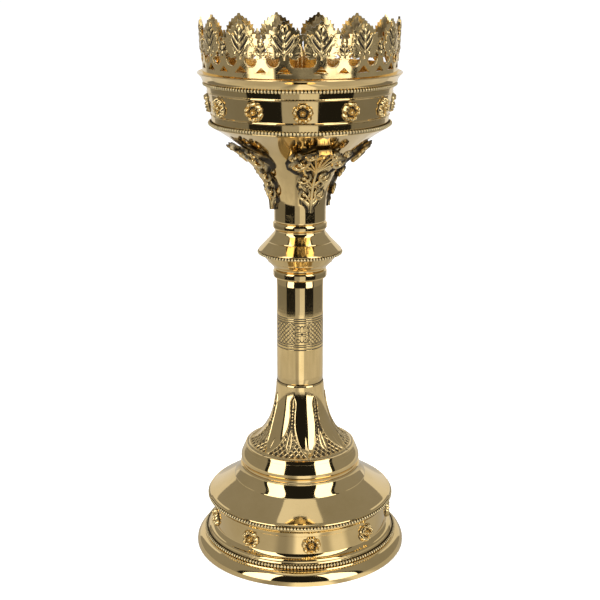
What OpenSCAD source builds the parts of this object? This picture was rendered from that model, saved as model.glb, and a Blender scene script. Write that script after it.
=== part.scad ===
// Gothic altar candlestick with a pierced leaf crown.
// Spun and turned brass pieces are clamped on one steel tie rod, cast ornaments are riveted on,
// and a loose wax pan with its pricket lifts out of the gallery.
// Millimetres, +Z up, origin at the centre of the foot's underside, front towards -Y.

/* [Base] */
// Outer radius of the foot
foot_r = 80.3; // [72:0.1:100]
// Height of the rolled foot flange
foot_h = 9.4; // [7:0.1:12]
// Radius of the plain band that carries the base rosettes
base_band_r = 66.7; // [62:0.1:68]
// Height of the plain band
base_band_h = 13.8; // [11:0.1:20]
// Radius of the dome's edge
dome_r = 70.1; // [69.5:0.1:76]
// Rise of the dome from its edge to its step
dome_h = 13.7; // [10:0.1:20]
// Radius of the step on top of the dome
step_r = 50.3; // [44:0.1:58]
// Height of the step
step_h = 9.9; // [8:0.1:14]

/* [Bell and stem] */
// Radius of the bell's rounded foot
bell_foot_r = 45.3; // [38:0.1:46]
// Height of the bell's rounded foot
bell_foot_h = 15.7; // [13:0.1:20]
// Height of the flared bell above its foot
bell_h = 50.9; // [40:0.1:70]
// Outer radius of the stem tube
tube_r = 17.4; // [15.5:0.1:20]
// Length of the stem tube
tube_len = 79.9; // [50:0.1:140]
// Outer radius of the two collars
collar_r = 19.9; // [19.2:0.1:24]
// Height of the lower collar
lower_collar_h = 6.5; // [5:0.1:9]
// Height of the upper collar
upper_collar_h = 5.7; // [5:0.1:9]

/* [Knop] */
// Radius of the knop's edge
knop_r = 30.6; // [27:0.1:40]
// Height of the knop's lower cup
knop_lower_h = 14.2; // [12:0.1:20]
// Height of the knop's upper cup
knop_upper_h = 15.9; // [13:0.1:22]

/* [Bowl] */
// Radius of the bowl's neck
neck_r = 19; // [17.5:0.1:21]
// Height of the straight neck
neck_h = 7.4; // [5:0.1:12]
// Height of the flared bowl above its neck
bowl_h = 63.3; // [50:0.1:80]

/* [Gallery] */
// Radius of the bowl's rim and of the gallery's foot
gallery_foot_r = 63.2; // [56:0.1:76]
// Growth of the gallery wall's radius from its foot to its top
gallery_flare = 3.4; // [2:0.1:6]
// Height of the gallery wall
gallery_h = 30.3; // [27:0.1:40]
// Height of the flared lip
lip_h = 6.6; // [5.5:0.1:9]
// Overhang of the lip past the gallery wall
lip_out = 6.2; // [5:0.1:9]

/* [Crown] */
// Number of leaves round the crown
crown_leaves = 14; // [10:1:18]
// Angle between the two leaves at the crown's seam
seam_pitch = 20.2; // [19:0.1:30]
// Height of the crown from its seat to the leaf tips
crown_h = 42; // [42:0.1:50]
// Thickness of the crown's metal
crown_t = 1.4; // [1:0.1:2.5]
// Height of the crown's solid strip
crown_strip_h = 8; // [6:0.1:10]

/* [Ornament] */
// Number of rosettes on the base
base_rosettes = 9; // [6:1:9]
// Number of rosettes on the gallery
gallery_rosettes = 12; // [6:1:12]
// Radius of a rosette
rosette_r = 7.3; // [5:0.1:8]
// How far a rosette stands off its wall
rosette_proud = 3.8; // [2.5:0.1:6]
// Number of acanthus brackets under the bowl
brackets = 4; // [2:1:4]
// Metal thickness of an acanthus bracket
bracket_t = 2.4; // [1.6:0.1:4]
// Height of the beaded wire
bead_d = 2.2; // [1.6:0.1:2.6]
// Depth of the beaded wire
bead_depth = 2.1; // [1.5:0.1:2.5]

/* [Wax pan and pricket] */
// Radial gap between the wax pan's wall and the gallery's foot
pan_gap = 1.2; // [0.6:0.1:4]
// Height of the wax pan's wall
pan_h = 17; // [10:0.1:26]
// Metal thickness of the wax pan
pan_t = 1.4; // [1:0.1:2.5]
// Radius of the pricket's shaft
pricket_r = 3.8; // [3:0.1:6]
// Height of the pricket's straight shaft above the pan
pricket_h = 46; // [25:0.1:60]
// Length of the pricket's point
pricket_point = 10.5; // [6:0.1:20]

/* [Metal and fasteners] */
// Wall of the spun pieces
wall = 1.8; // [1.4:0.1:2.4]
// Wall of the stem tube
tube_wall = 1.6; // [1:0.1:2.5]
// Radius of the tie rod
rod_r = 4; // [3:0.1:5]
// Clearance round the tie rod and the spigots
play = 0.25; // [0.15:0.05:0.5]
// Radius of a rivet
rivet_r = 1.1; // [0.8:0.1:1.5]

/* [Hidden] */
$fn = 96;
brass = [0.80, 0.67, 0.42];
cast_brass = [0.58, 0.49, 0.28];
inner_brass = [0.72, 0.58, 0.34];
steel = [0.62, 0.63, 0.65];

// Turns of the ornaments about the axis: -90 is the front.
base_turn = -83;
bracket_turn = -70;
gallery_turn = -88.4;

// Heights of the joints, from the floor up.
z_ledge = foot_h + 4.6;
z_band = z_ledge + 5.6;
z_cornice = z_band + base_band_h;
z_dome = z_cornice + 8.8;
z_step = z_dome + dome_h;
z_bell = z_step + step_h;
z_flare = z_bell + bell_foot_h;
z_tube = z_flare + bell_h;
z_collar = z_tube + tube_len;
z_knop = z_collar + lower_collar_h;
z_edge = z_knop + knop_lower_h;
z_collar2 = z_edge + knop_upper_h;
z_neck = z_collar2 + upper_collar_h;
z_bowl = z_neck + neck_h;
z_gallery = z_bowl + bowl_h;
z_lip = z_gallery + gallery_h;

gallery_top_r = gallery_foot_r + gallery_flare;
floor_t = 1.8;
z_pan = z_gallery + floor_t;
pan_r = gallery_foot_r - wall - pan_gap;
ledge_t = 2.4;
z_crown = z_lip + ledge_t;
crown_r = gallery_top_r + 2;
spigot_h = 4;
spigot_r = tube_r - tube_wall - play;
spigot_wall = 2.6;
rod_hole = rod_r + play;
nut_t = 1.6 * rod_r;
nut_r = 1.875 * rod_r;
washer_t = 1.6;
washer_r = 2.4 * rod_r;
plate_t = 2;
rosette_z = z_band + base_band_h / 2;
gallery_rosette_z = z_gallery + gallery_h / 2;

// A cubic curve from a to d with handles b and c.
function curve(a, b, c, d, n = 10) = [for (i = [0:n]) let (t = i / n)
    pow(1 - t, 3) * a + 3 * pow(1 - t, 2) * t * b + 3 * (1 - t) * t * t * c + pow(t, 3) * d];

// The same points in the other order.
function back(path) = [for (i = [len(path) - 1:-1:0]) path[i]];

// The path moved sideways by t, towards the axis where the path climbs.
function inset(path, t) = [for (i = [0:len(path) - 1])
    let (d = path[min(i + 1, len(path) - 1)] - path[max(i - 1, 0)])
    path[i] + t * [-d.y, d.x] / norm(d)];

// The solid that fills a profile in to the axis.
module filled(path) {
    rotate_extrude() polygon(concat([[0, path[0].y]], path, [[0, path[len(path) - 1].y]]));
}

// The solid between an outer and an inner profile that both climb.
module turned(outer, inner) {
    rotate_extrude() polygon(concat(outer, back(inner)));
}

// A half-round wire laid against a wall of radius r, centred at height z.
module bead_wire(r, z, d = bead_d, depth = bead_depth) {
    straight = depth - d / 2;
    rotate_extrude() polygon(concat([[r, z - d / 2]],
        [for (a = [-90:15:90]) [r + straight + d / 2 * cos(a), z + d / 2 * sin(a)]],
        [[r, z + d / 2]]));
}

// ---- Base ----

lower_bead_r = base_band_r + 5;
upper_bead_r = dome_r - 1.3;
upper_bead_z = z_dome - bead_d / 2;

skirt_out = concat(
    [[foot_r - 0.7, 0], [foot_r, 1.2]],
    curve([foot_r, 2], [foot_r, 5.2], [foot_r - 2.2, foot_h - 1.2], [base_band_r + 8.3, foot_h - 0.2], 7),
    [[base_band_r + 7.6, foot_h], [base_band_r + 7.4, foot_h + 0.9], [lower_bead_r, foot_h + 1.5]],
    [[lower_bead_r, z_ledge - 0.2], [base_band_r + 4.4, z_ledge + 0.4], [base_band_r + 4.2, z_ledge + 1.6]],
    curve([base_band_r + 3.4, z_ledge + 2.4], [base_band_r + 1.6, z_ledge + 3],
        [base_band_r + 0.2, z_ledge + 4.2], [base_band_r, z_band], 4),
    [[base_band_r, z_cornice]],
    [[base_band_r + 0.5, z_cornice + 0.3], [base_band_r + 0.5, z_cornice + 0.9]],
    curve([base_band_r + 0.5, z_cornice + 1.4], [base_band_r + 0.7, z_cornice + 3.6],
        [upper_bead_r - 0.5, z_cornice + 4], [upper_bead_r, z_cornice + 6], 5),
    [[upper_bead_r, z_dome]]);

skirt_in = concat(
    [[foot_r - 3.3, 0], [foot_r - 2.6, 2.4]],
    curve([foot_r - 2.6, 3], [foot_r - 3, 5], [base_band_r + 8.4, foot_h - 3.4], [base_band_r + 6.6, foot_h - 2], 4),
    [[base_band_r + 3.2, foot_h + 0.6], [base_band_r + 2.4, z_ledge + 1]],
    [[base_band_r - wall, z_band - 1], [base_band_r - wall, z_cornice]],
    [[upper_bead_r - wall, z_cornice + 6.4], [upper_bead_r - wall, z_dome]]);

dome_out = concat(
    [[dome_r - 0.3, z_dome], [dome_r, z_dome + 0.5], [dome_r - 0.2, z_dome + 1.1], [dome_r - 1, z_dome + 1.7]],
    curve([dome_r - 2.2, z_dome + 2.1], [dome_r - 8, z_dome + 5.5],
        [step_r + 6.2, z_step - 4.3], [step_r + 0.1, z_step], 6),
    curve([step_r, z_step + 0.5], [step_r - 1.5, z_step + 2.8],
        [bell_foot_r + 1.3, z_bell - 4.8], [bell_foot_r + 0.6, z_bell - 1.6], 5),
    [[bell_foot_r + 0.6, z_bell - 0.8], [bell_foot_r - 0.4, z_bell]]);

dome_in = concat(
    [[upper_bead_r - wall, z_dome], [upper_bead_r - wall, z_dome + 0.2]],
    inset(curve([dome_r - 2.2, z_dome + 2.1], [dome_r - 8, z_dome + 5.5],
        [step_r + 6.2, z_step - 4.3], [step_r - 0.4, z_step + 0.3], 6), wall),
    [[bell_foot_r - 1.6, z_bell - 3.4], [bell_foot_r - 2, z_bell - plate_t]],
    [[rod_hole, z_bell - plate_t], [rod_hole, z_bell]]);

module base_skirt() {
    color(brass) difference() {
        turned(skirt_out, skirt_in);
        base_rivet_shafts();
    }
}

module base_dome() {
    color(brass) turned(dome_out, dome_in);
}

module base_lower_bead_ring() {
    color(cast_brass) bead_wire(lower_bead_r, foot_h + 1.5 + bead_d / 2);
}

module base_upper_bead_ring() {
    color(cast_brass) bead_wire(upper_bead_r, upper_bead_z);
}

// ---- Rosettes ----

petals = 5;
wall_dig = 3;
rivet_head_t = 0.9;
rivet_head_gap = 0.15;
rivet_head_r = 2 * rivet_r;
rivet_bite = 1.4;

// A rosette about the +X axis, its wall at x = 0; its back runs on into the wall.
module rosette_blank() {
    rotate([0, 90, 0]) translate([0, 0, -wall_dig]) cylinder(r = 0.8 * rosette_r, h = wall_dig + 0.45 * rosette_proud);
    for (k = [0:petals - 1])
        rotate([k * 360 / petals, 0, 0]) translate([0, 0, 0.62 * rosette_r]) rotate([0, 90, 0])
            translate([0, 0, -wall_dig]) cylinder(r = 0.38 * rosette_r, h = wall_dig + 0.8 * rosette_proud);
    translate([rosette_proud - 0.28 * rosette_r, 0, 0]) sphere(r = 0.28 * rosette_r);
}

// A rivet about the +X axis through a wall of thickness t.
module rivet_shaft(t) {
    shank = t + rivet_head_gap + rivet_head_t / 2;
    rotate([0, 90, 0]) translate([0, 0, -shank]) cylinder(r = rivet_r, h = shank + rivet_bite);
}

// Its flat head inside the wall, a hair off the wall's hollow curve.
module rivet_head(t) {
    rotate([0, 90, 0]) translate([0, 0, -t - rivet_head_gap - rivet_head_t]) cylinder(r = rivet_head_r, h = rivet_head_t);
}

function base_rosette_angle(k) = base_turn + (k - 1) * 360 / base_rosettes;

module at_base_band(k) {
    rotate([0, 0, base_rosette_angle(k)]) translate([base_band_r, 0, rosette_z]) children();
}

module base_rivet_shafts() {
    for (k = [1:base_rosettes]) at_base_band(k) rivet_shaft(wall);
}

module base_rosette(k) {
    color(cast_brass) difference() {
        at_base_band(k) rosette_blank();
        filled(skirt_out);
        at_base_band(k) rivet_shaft(wall);
    }
}

module base_rosette_rivets() {
    color(brass) {
        base_rivet_shafts();
        for (k = [1:base_rosettes]) at_base_band(k) rivet_head(wall);
    }
}

// ---- Bell, stem and knop ----

bell_out = concat(
    [[bell_foot_r - 0.9, z_bell], [bell_foot_r - 1.1, z_bell + 1.4], [bell_foot_r - 0.7, z_bell + 2.8]],
    curve([bell_foot_r - 0.1, z_bell + 3.8], [bell_foot_r + 0.5, z_bell + 7],
        [bell_foot_r - 1.8, z_flare - 5], [bell_foot_r - 3.6, z_flare - 0.9], 6),
    [[bell_foot_r - 3.8, z_flare]],
    curve([bell_foot_r - 4.4, z_flare + 0.2], [bell_foot_r - 16.3, z_flare + 4.5],
        [tube_r + 2.1, z_flare + 18.5], [tube_r + 0.5, z_tube - 0.6], 14),
    [[tube_r + 0.2, z_tube]]);

bell_in = concat(
    [[bell_foot_r - 0.9 - wall, z_bell], [bell_foot_r - 1 - wall, z_flare - 2.5]],
    inset(curve([bell_foot_r - 4.4, z_flare + 0.2], [bell_foot_r - 16.3, z_flare + 4.5],
        [tube_r + 2.1, z_flare + 18.5], [tube_r + 0.5, z_tube - 3.2], 10), wall),
    [[spigot_r - spigot_wall, z_tube - 3], [spigot_r - spigot_wall, z_tube]]);

module spigot(z, h) {
    translate([0, 0, z]) difference() {
        cylinder(r = spigot_r, h = h);
        translate([0, 0, -1]) cylinder(r = spigot_r - spigot_wall, h = h + 2);
    }
}

module bell() {
    color(brass) {
        turned(bell_out, bell_in);
        spigot(z_tube, spigot_h);
    }
}

module stem_tube() {
    color(brass) translate([0, 0, z_tube]) difference() {
        cylinder(r = tube_r, h = tube_len);
        translate([0, 0, -1]) cylinder(r = tube_r - tube_wall, h = tube_len + 2);
    }
}

// A round-edged collar from height z, narrowing to the end radii r0 and r1.
module collar(z, h, r0, r1) {
    bore = spigot_r - spigot_wall;
    rotate_extrude() polygon(concat(
        [[bore, z], [r0, z], [collar_r - 0.5, z + 0.6], [collar_r, z + 1.5]],
        [[collar_r, z + h - 1.5], [collar_r - 0.5, z + h - 0.6], [r1, z + h], [bore, z + h]]));
}

module lower_collar() {
    color(brass) {
        collar(z_collar, lower_collar_h, tube_r + 0.5, tube_r + 1);
        spigot(z_collar - spigot_h, spigot_h);
    }
}

module upper_collar() {
    color(brass) collar(z_collar2, upper_collar_h, neck_r - 0.2, neck_r - 0.2);
}

edge_wire_d = 1.8;
edge_wire_depth = 1.5;
knop_rim_r = knop_r - edge_wire_depth - 0.1;

knop_lower_out = [
    [tube_r + 1, z_knop], [tube_r + 2.1, z_knop + 0.9], [tube_r + 2.4, z_knop + 1.9], [tube_r + 3.2, z_knop + 2.8],
    [tube_r + 5.8, z_knop + 5.6], [tube_r + 6.5, z_knop + 5.9], [tube_r + 6.9, z_knop + 6.7],
    [knop_rim_r - 1.2, z_edge - 2.9], [knop_rim_r, z_edge - edge_wire_d], [knop_rim_r, z_edge]];

knop_lower_in = [
    [rod_hole, z_knop], [rod_hole, z_knop + plate_t], [tube_r - 0.8, z_knop + plate_t],
    [tube_r + 4.2, z_knop + 7], [knop_rim_r - wall, z_edge - 2], [knop_rim_r - wall, z_edge]];

knop_upper_out = [
    [knop_r - 0.2, z_edge], [knop_r, z_edge + 0.5], [knop_r - 0.4, z_edge + 1.1],
    [(knop_r + neck_r) / 2 - 0.5, z_edge + 7.2], [(knop_r + neck_r) / 2 - 1, z_edge + 7.3],
    [(knop_r + neck_r) / 2 - 1.2, z_edge + 7.8],
    [neck_r + 0.3, z_collar2 - 3], [neck_r - 0.2, z_collar2 - 2.2], [neck_r - 0.4, z_collar2 - 1],
    [neck_r - 0.2, z_collar2]];

knop_upper_in = [
    [knop_rim_r - wall, z_edge], [knop_rim_r - wall, z_edge + 0.4],
    [neck_r - 1.4, z_collar2 - 4], [neck_r - 2.2, z_collar2 - plate_t],
    [rod_hole, z_collar2 - plate_t], [rod_hole, z_collar2]];

module knop_lower() {
    color(brass) turned(knop_lower_out, knop_lower_in);
}

module knop_bead_ring() {
    color(cast_brass) bead_wire(knop_rim_r, z_edge - edge_wire_d / 2, edge_wire_d, edge_wire_depth);
}

module knop_upper() {
    color(brass) turned(knop_upper_out, knop_upper_in);
}

// ---- Bowl and brackets ----

bowl_curve = [
    [neck_r, z_bowl], [neck_r + 0.5, z_bowl + 0.474 * bowl_h],
    [neck_r + 0.372 * (gallery_foot_r - neck_r), z_bowl + 0.727 * bowl_h], [gallery_foot_r + 1.3, z_gallery - 0.5]];

function bowl_path(n) = curve(bowl_curve[0], bowl_curve[1], bowl_curve[2], bowl_curve[3], n);

bowl_out = concat([[neck_r - 0.4, z_neck], [neck_r, z_neck + 1.2]], bowl_path(14), [[gallery_foot_r + 1.3, z_gallery]]);

bowl_in = concat(
    [[rod_hole, z_neck], [rod_hole, z_neck + plate_t], [neck_r - wall, z_neck + plate_t]],
    [for (p = inset(bowl_path(14), wall)) if (p.y < z_gallery - 0.5) p],
    [[gallery_foot_r - 0.8 * wall, z_gallery]]);

module bowl() {
    color(brass) difference() {
        turned(bowl_out, bowl_in);
        bracket_rivet_shafts();
    }
}

// The bracket's sheet lies on the bowl, then lifts off it towards its tip.
sheet_steps = 16;
sheet_end = 0.8;
lift_start = 0.5;
tip_lift = 2.2;
function bowl_point(t) =
    pow(1 - t, 3) * bowl_curve[0] + 3 * pow(1 - t, 2) * t * bowl_curve[1]
    + 3 * (1 - t) * t * t * bowl_curve[2] + pow(t, 3) * bowl_curve[3];
function bowl_tangent(t) = bowl_point(t + 0.01) - bowl_point(t - 0.01);
function off_bowl(t, d) = let (g = bowl_tangent(t)) bowl_point(t) + d * [g.y, -g.x] / norm(g);
function lift(t) = tip_lift * pow(max(t - lift_start, 0) / (sheet_end - lift_start), 2);
function sheet_t(i) = 0.04 + (sheet_end - 0.04) * i / sheet_steps;

bracket_under = [for (i = [0:sheet_steps]) off_bowl(sheet_t(i), lift(sheet_t(i)) - 0.6)];
bracket_over = [for (i = [0:sheet_steps]) off_bowl(sheet_t(i), lift(sheet_t(i)) + bracket_t)];

// Half widths of the leaf against the height above the bracket's foot.
bracket_rise = z_gallery - z_bowl - 13;
bracket_edge = [
    [2.6, 0], [3, 0.12], [6.6, 0.18], [6.2, 0.28], [3.8, 0.34], [10.6, 0.42], [10.2, 0.54], [7.4, 0.6],
    [16, 0.68], [21.5, 0.76], [22.4, 0.86], [18, 0.92], [13.5, 0.88], [12.5, 0.97], [7, 0.94], [4, 1.04]];

module bracket_prism() {
    half = [for (p = bracket_edge) [p.x, z_bowl + p.y * bracket_rise]];
    other = [for (p = half) [-p.x, p.y]];
    rotate([90, 0, 90]) linear_extrude(height = gallery_foot_r + 10) polygon(concat(half, back(other)));
}

bracket_rivet_rises = [0.24, 0.5];
volute_r = 2.6;

function bracket_angle(k) = bracket_turn + (k - 1) * 360 / brackets;

// The bowl's outer radius where its curve crosses the height of the parameter t.
module at_bowl(k, t) {
    p = bowl_point(t);
    g = bowl_tangent(t);
    rotate([0, 0, bracket_angle(k)]) translate([p.x, 0, p.y]) rotate([0, atan2(g.x, g.y), 0]) children();
}

module bracket_rivet_shafts() {
    for (k = [1:brackets], t = bracket_rivet_rises) at_bowl(k, t) rivet_shaft(wall);
}

module acanthus_bracket(k) {
    color(cast_brass) difference() {
        union() {
            intersection() {
                rotate_extrude() polygon(concat(bracket_over, back(bracket_under)));
                rotate([0, 0, bracket_angle(k)]) bracket_prism();
            }
            for (s = [-1, 1])
                rotate([0, 0, bracket_angle(k) + s * 22]) translate([off_bowl(0.71, 4).x, 0, off_bowl(0.71, 4).y])
                    sphere(r = volute_r);
        }
        filled(bowl_out);
        for (t = bracket_rivet_rises) at_bowl(k, t) rivet_shaft(wall);
    }
}

module bracket_rivets() {
    color(brass) {
        bracket_rivet_shafts();
        for (k = [1:brackets], t = bracket_rivet_rises) at_bowl(k, t) rivet_head(wall);
    }
}

// ---- Gallery ----

wall_foot_r = gallery_foot_r + 0.2;
wall_z0 = z_gallery + 8.2;
wall_z1 = z_lip - 7.6;
wall_top_r = gallery_top_r - 0.8;
wall_lean = atan2(wall_top_r - wall_foot_r, wall_z1 - wall_z0);
function wall_r(z) = wall_foot_r + (wall_top_r - wall_foot_r) * (z - wall_z0) / (wall_z1 - wall_z0);

gallery_out = [
    [gallery_foot_r, z_gallery], [gallery_foot_r, z_gallery + bead_d], [gallery_foot_r + 0.3, wall_z0 - 1.6],
    [gallery_foot_r + 0.8, wall_z0 - 1.2], [gallery_foot_r + 0.8, wall_z0 - 0.4], [wall_foot_r, wall_z0],
    [wall_top_r, wall_z1], [wall_top_r + 0.5, wall_z1 + 0.4], [wall_top_r + 0.5, wall_z1 + 1.1],
    [wall_top_r + 0.2, wall_z1 + 1.5], [gallery_top_r, z_lip - bead_d - 0.4], [gallery_top_r, z_lip]];

floor_ring_w = 12;
gallery_in = [
    [gallery_foot_r - floor_ring_w, z_gallery], [gallery_foot_r - floor_ring_w, z_pan],
    [gallery_foot_r - wall, z_pan], [wall_foot_r - wall, wall_z0],
    [wall_top_r - wall, wall_z1], [gallery_top_r - wall, z_lip]];

module gallery_band() {
    color(brass) difference() {
        turned(gallery_out, gallery_in);
        gallery_rivet_shafts();
    }
}

module gallery_lower_bead_ring() {
    color(cast_brass) bead_wire(gallery_foot_r, z_gallery + bead_d / 2);
}

module gallery_upper_bead_ring() {
    color(cast_brass) bead_wire(gallery_top_r, z_lip - bead_d / 2);
}

function gallery_rosette_angle(k) = gallery_turn + (k - 1) * 360 / gallery_rosettes;

module at_gallery(k) {
    rotate([0, 0, gallery_rosette_angle(k)])
        translate([wall_r(gallery_rosette_z), 0, gallery_rosette_z]) rotate([0, wall_lean, 0]) children();
}

module gallery_rivet_shafts() {
    for (k = [1:gallery_rosettes]) at_gallery(k) rivet_shaft(wall);
}

module gallery_rosette(k) {
    color(cast_brass) difference() {
        at_gallery(k) rosette_blank();
        filled(gallery_out);
        at_gallery(k) rivet_shaft(wall);
    }
}

module gallery_rosette_rivets() {
    color(brass) {
        gallery_rivet_shafts();
        for (k = [1:gallery_rosettes]) at_gallery(k) rivet_head(wall);
    }
}

lip_r = gallery_top_r + lip_out;
lip_t = 1.1;

module gallery_lip() {
    flare = curve([gallery_top_r + 2.9, z_lip + 1.7], [gallery_top_r + 3.3, z_lip + 3.4],
        [lip_r - 1.4, z_lip + lip_h - 2], [lip_r, z_lip + lip_h - 0.4], 5);
    color(brass) turned(
        concat([[gallery_top_r + 1.6, z_lip], [gallery_top_r + 2.6, z_lip + 0.7]], flare, [[lip_r - 0.1, z_lip + lip_h]]),
        concat([[gallery_top_r - wall, z_lip], [gallery_top_r - wall, z_crown], [crown_r + 0.2, z_crown]],
            inset(flare, lip_t), [[lip_r - 0.7, z_lip + lip_h]]));
}

// ---- Crown ----

lattice_z = z_crown + crown_strip_h;
leaf_pitch = (360 - seam_pitch) / (crown_leaves - 1);
crown_lean = 1.4;
half_pitch = (crown_r + crown_lean / 2) * sin(leaf_pitch / 2);
half_seam = (crown_r + crown_lean / 2) * sin(seam_pitch / 2);
hole_r = 4.3;
hole_h = 8.6;
slit = 0.8;
leaf_h = crown_h - crown_strip_h;
cutter_in = (crown_r - crown_t) * cos(leaf_pitch / 2) - 1;
cutter_depth = crown_r + crown_lean + 1 - cutter_in;

// Right half of a vine leaf, from above its stem to its tip: across, and up from the solid strip.
leaf_half = [
    [3.2, 10.5], [6.2, 11.4], [6.6, 13.8], [9.4, 15.2], [11, 15], [13.4, 18.2], [12.8, 20.2], [13.3, 22],
    [11.6, 23], [12.3, 25.6], [9.8, 25.4], [9.6, 28.2], [7.6, 27.6], [6.6, 30.4], [4.8, 29.8], [3.2, 32],
    [1.6, 31.8]];

// Right half of the small sprig between two leaves.
sprig_half = [[1.7, 10.6], [2.4, 11.6], [3.2, 13.2], [2.4, 14.8], [1.2, 15.6], [1.9, 19.4], [0.8, 19], [0.4, 22.4]];

// Peaked holes under a leaf and under a sprig: half width and height.
leaf_peak = [5.2, 4.7];
sprig_peak = [4.4, 3.8];

function mirrored(path) = [for (p = path) [-p.x, p.y]];

// The round bottom of an open hole centred at u, from its right side to its left.
function hole_bottom(u) = [for (a = [0:-15:-180]) [u + hole_r * cos(a), hole_h + hole_r * sin(a)]];

// The side of the leaf that faces the gap, its middle line w away; two leaves stay a slit apart.
function leaf_side(w) = [for (p = leaf_half) [max(w - p.x, slit / 2), p.y]];
function over(w) = [w - 0.1, leaf_h + 1];
seam_hole = half_seam - half_pitch / 2;

// Right half of the gap between two leaves, from above the crown down to the middle.
sprig_gap_half = concat([over(half_pitch)], back(leaf_side(half_pitch)), hole_bottom(half_pitch / 2), sprig_half);
seam_gap_half = concat([over(half_seam)], back(leaf_side(half_seam)),
    [for (a = [0:-15:-90]) [seam_hole + hole_r * cos(a), hole_h + hole_r * sin(a)]]);

// A cutter through the crown's wall at the angle a.
module through_wall(a, outline) {
    rotate([0, 0, a]) translate([cutter_in, 0, lattice_z]) rotate([90, 0, 90])
        linear_extrude(height = cutter_depth) polygon(outline);
}

module peaked_hole(a, peak) {
    through_wall(a, [[-peak.x, 0.2], [peak.x, 0.2], [0.6, peak.y], [-0.6, peak.y]]);
}

module crown() {
    outer = [[crown_r, z_crown], [crown_r + crown_lean, z_crown + crown_h]];
    color(cast_brass) rotate([0, 0, gallery_turn + seam_pitch / 2]) difference() {
        turned(outer, [for (p = outer) p - [crown_t, 0]]);
        for (k = [0:crown_leaves - 1]) peaked_hole(k * leaf_pitch, leaf_peak);
        for (k = [1:crown_leaves - 1]) {
            peaked_hole((k - 0.5) * leaf_pitch, sprig_peak);
            through_wall((k - 0.5) * leaf_pitch, concat(sprig_gap_half, back(mirrored(sprig_gap_half))));
        }
        // The wide plain opening at the seam.
        through_wall(-seam_pitch / 2, concat(seam_gap_half, back(mirrored(seam_gap_half))));
    }
}

// ---- Wax pan and pricket ----

shank_r = 0.8 * pricket_r;
pin_nut_t = 5;
pin_washer_t = 1.2;
boss_r = 9;
boss_h = 2.2;
rim_r = 1.2;

module wax_pan() {
    z_top = z_pan + pan_h - rim_r;
    color(inner_brass) rotate_extrude() polygon(concat(
        [[shank_r, z_pan], [pan_r - 2, z_pan], [pan_r - 0.6, z_pan + 0.6], [pan_r, z_pan + 2]],
        [for (a = [-60:30:180]) [pan_r - pan_t / 2 + rim_r * cos(a), z_top + rim_r * sin(a)]],
        [[pan_r - pan_t, z_top - rim_r], [pan_r - pan_t, z_pan + 2.6], [pan_r - 2.6, z_pan + pan_t]],
        [[boss_r + 1, z_pan + pan_t], [boss_r, z_pan + boss_h], [shank_r, z_pan + boss_h]]));
}

module pricket() {
    z0 = z_pan + boss_h;
    z1 = z0 + pricket_h - boss_h;
    color(brass) rotate_extrude() polygon(concat(
        [[0, z_pan - pin_washer_t - pin_nut_t - 2.4], [shank_r - 0.6, z_pan - pin_washer_t - pin_nut_t - 2.4]],
        [[shank_r, z_pan - pin_washer_t - pin_nut_t - 1.8], [shank_r, z0], [boss_r - 1, z0], [boss_r - 1, z0 + 1.6]],
        curve([boss_r - 1.8, z0 + 2.4], [pricket_r + 0.6, z0 + 2.8], [pricket_r, z0 + 5], [pricket_r, z0 + 8], 5),
        [[pricket_r, z1]],
        curve([pricket_r - 0.4, z1 + 0.8], [pricket_r - 0.8, z1 + pricket_point / 3],
            [1.4, z1 + 2 * pricket_point / 3], [0.4, z1 + pricket_point], 5),
        [[0, z1 + pricket_point]]));
}

// A washer with its top face at height z.
module washer_under(z, r, bore, t) {
    translate([0, 0, z - t]) difference() {
        cylinder(r = r, h = t);
        translate([0, 0, -1]) cylinder(r = bore, h = t + 2);
    }
}

// A hexagon nut with its top face at height z.
module nut_under(z, r, bore, t) {
    translate([0, 0, z - t]) difference() {
        cylinder(r = r, h = t, $fn = 6);
        translate([0, 0, -1]) cylinder(r = bore, h = t + 2);
    }
}

module pricket_washer() {
    color(steel) washer_under(z_pan, 2.2 * shank_r, shank_r, pin_washer_t);
}

module pricket_nut() {
    color(steel) nut_under(z_pan - pin_washer_t, 1.9 * shank_r, shank_r, pin_nut_t);
}

// ---- Tie rod ----

rod_z0 = z_bell - plate_t - washer_t - nut_t - 4;
rod_z1 = z_neck + plate_t + washer_t + nut_t + 4;

module tie_rod() {
    color(steel) translate([0, 0, rod_z0]) cylinder(r = rod_r, h = rod_z1 - rod_z0);
}

module rod_washers() {
    color(steel) {
        washer_under(z_bell - plate_t, 1.6 * washer_r, rod_r, washer_t);
        washer_under(z_neck + plate_t + washer_t, washer_r, rod_r, washer_t);
    }
}

module rod_nuts() {
    color(steel) {
        nut_under(z_bell - plate_t - washer_t, nut_r, rod_r, nut_t);
        nut_under(z_neck + plate_t + washer_t + nut_t, nut_r, rod_r, nut_t);
    }
}

// ---- Nodes ----

base_skirt();
base_dome();
base_lower_bead_ring();
base_upper_bead_ring();
base_rosette_rivets();
for (k = [1:base_rosettes])
    base_rosette(k);
bell();
stem_tube();
lower_collar();
knop_lower();
knop_bead_ring();
knop_upper();
upper_collar();
bowl();
bracket_rivets();
for (k = [1:brackets])
    acanthus_bracket(k);
gallery_band();
gallery_lower_bead_ring();
gallery_upper_bead_ring();
gallery_lip();
gallery_rosette_rivets();
for (k = [1:gallery_rosettes])
    gallery_rosette(k);
crown();
wax_pan();
pricket();
pricket_washer();
pricket_nut();
tie_rod();
rod_washers();
rod_nuts();
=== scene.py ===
# Gothic altar candlestick in polished and cast brass: its looks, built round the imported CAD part.
# Lengths are millimetres in this file and become metres when a mesh is made.
# An angle about the axis is 0 at the front (-Y) and grows towards +X.

import math

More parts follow.
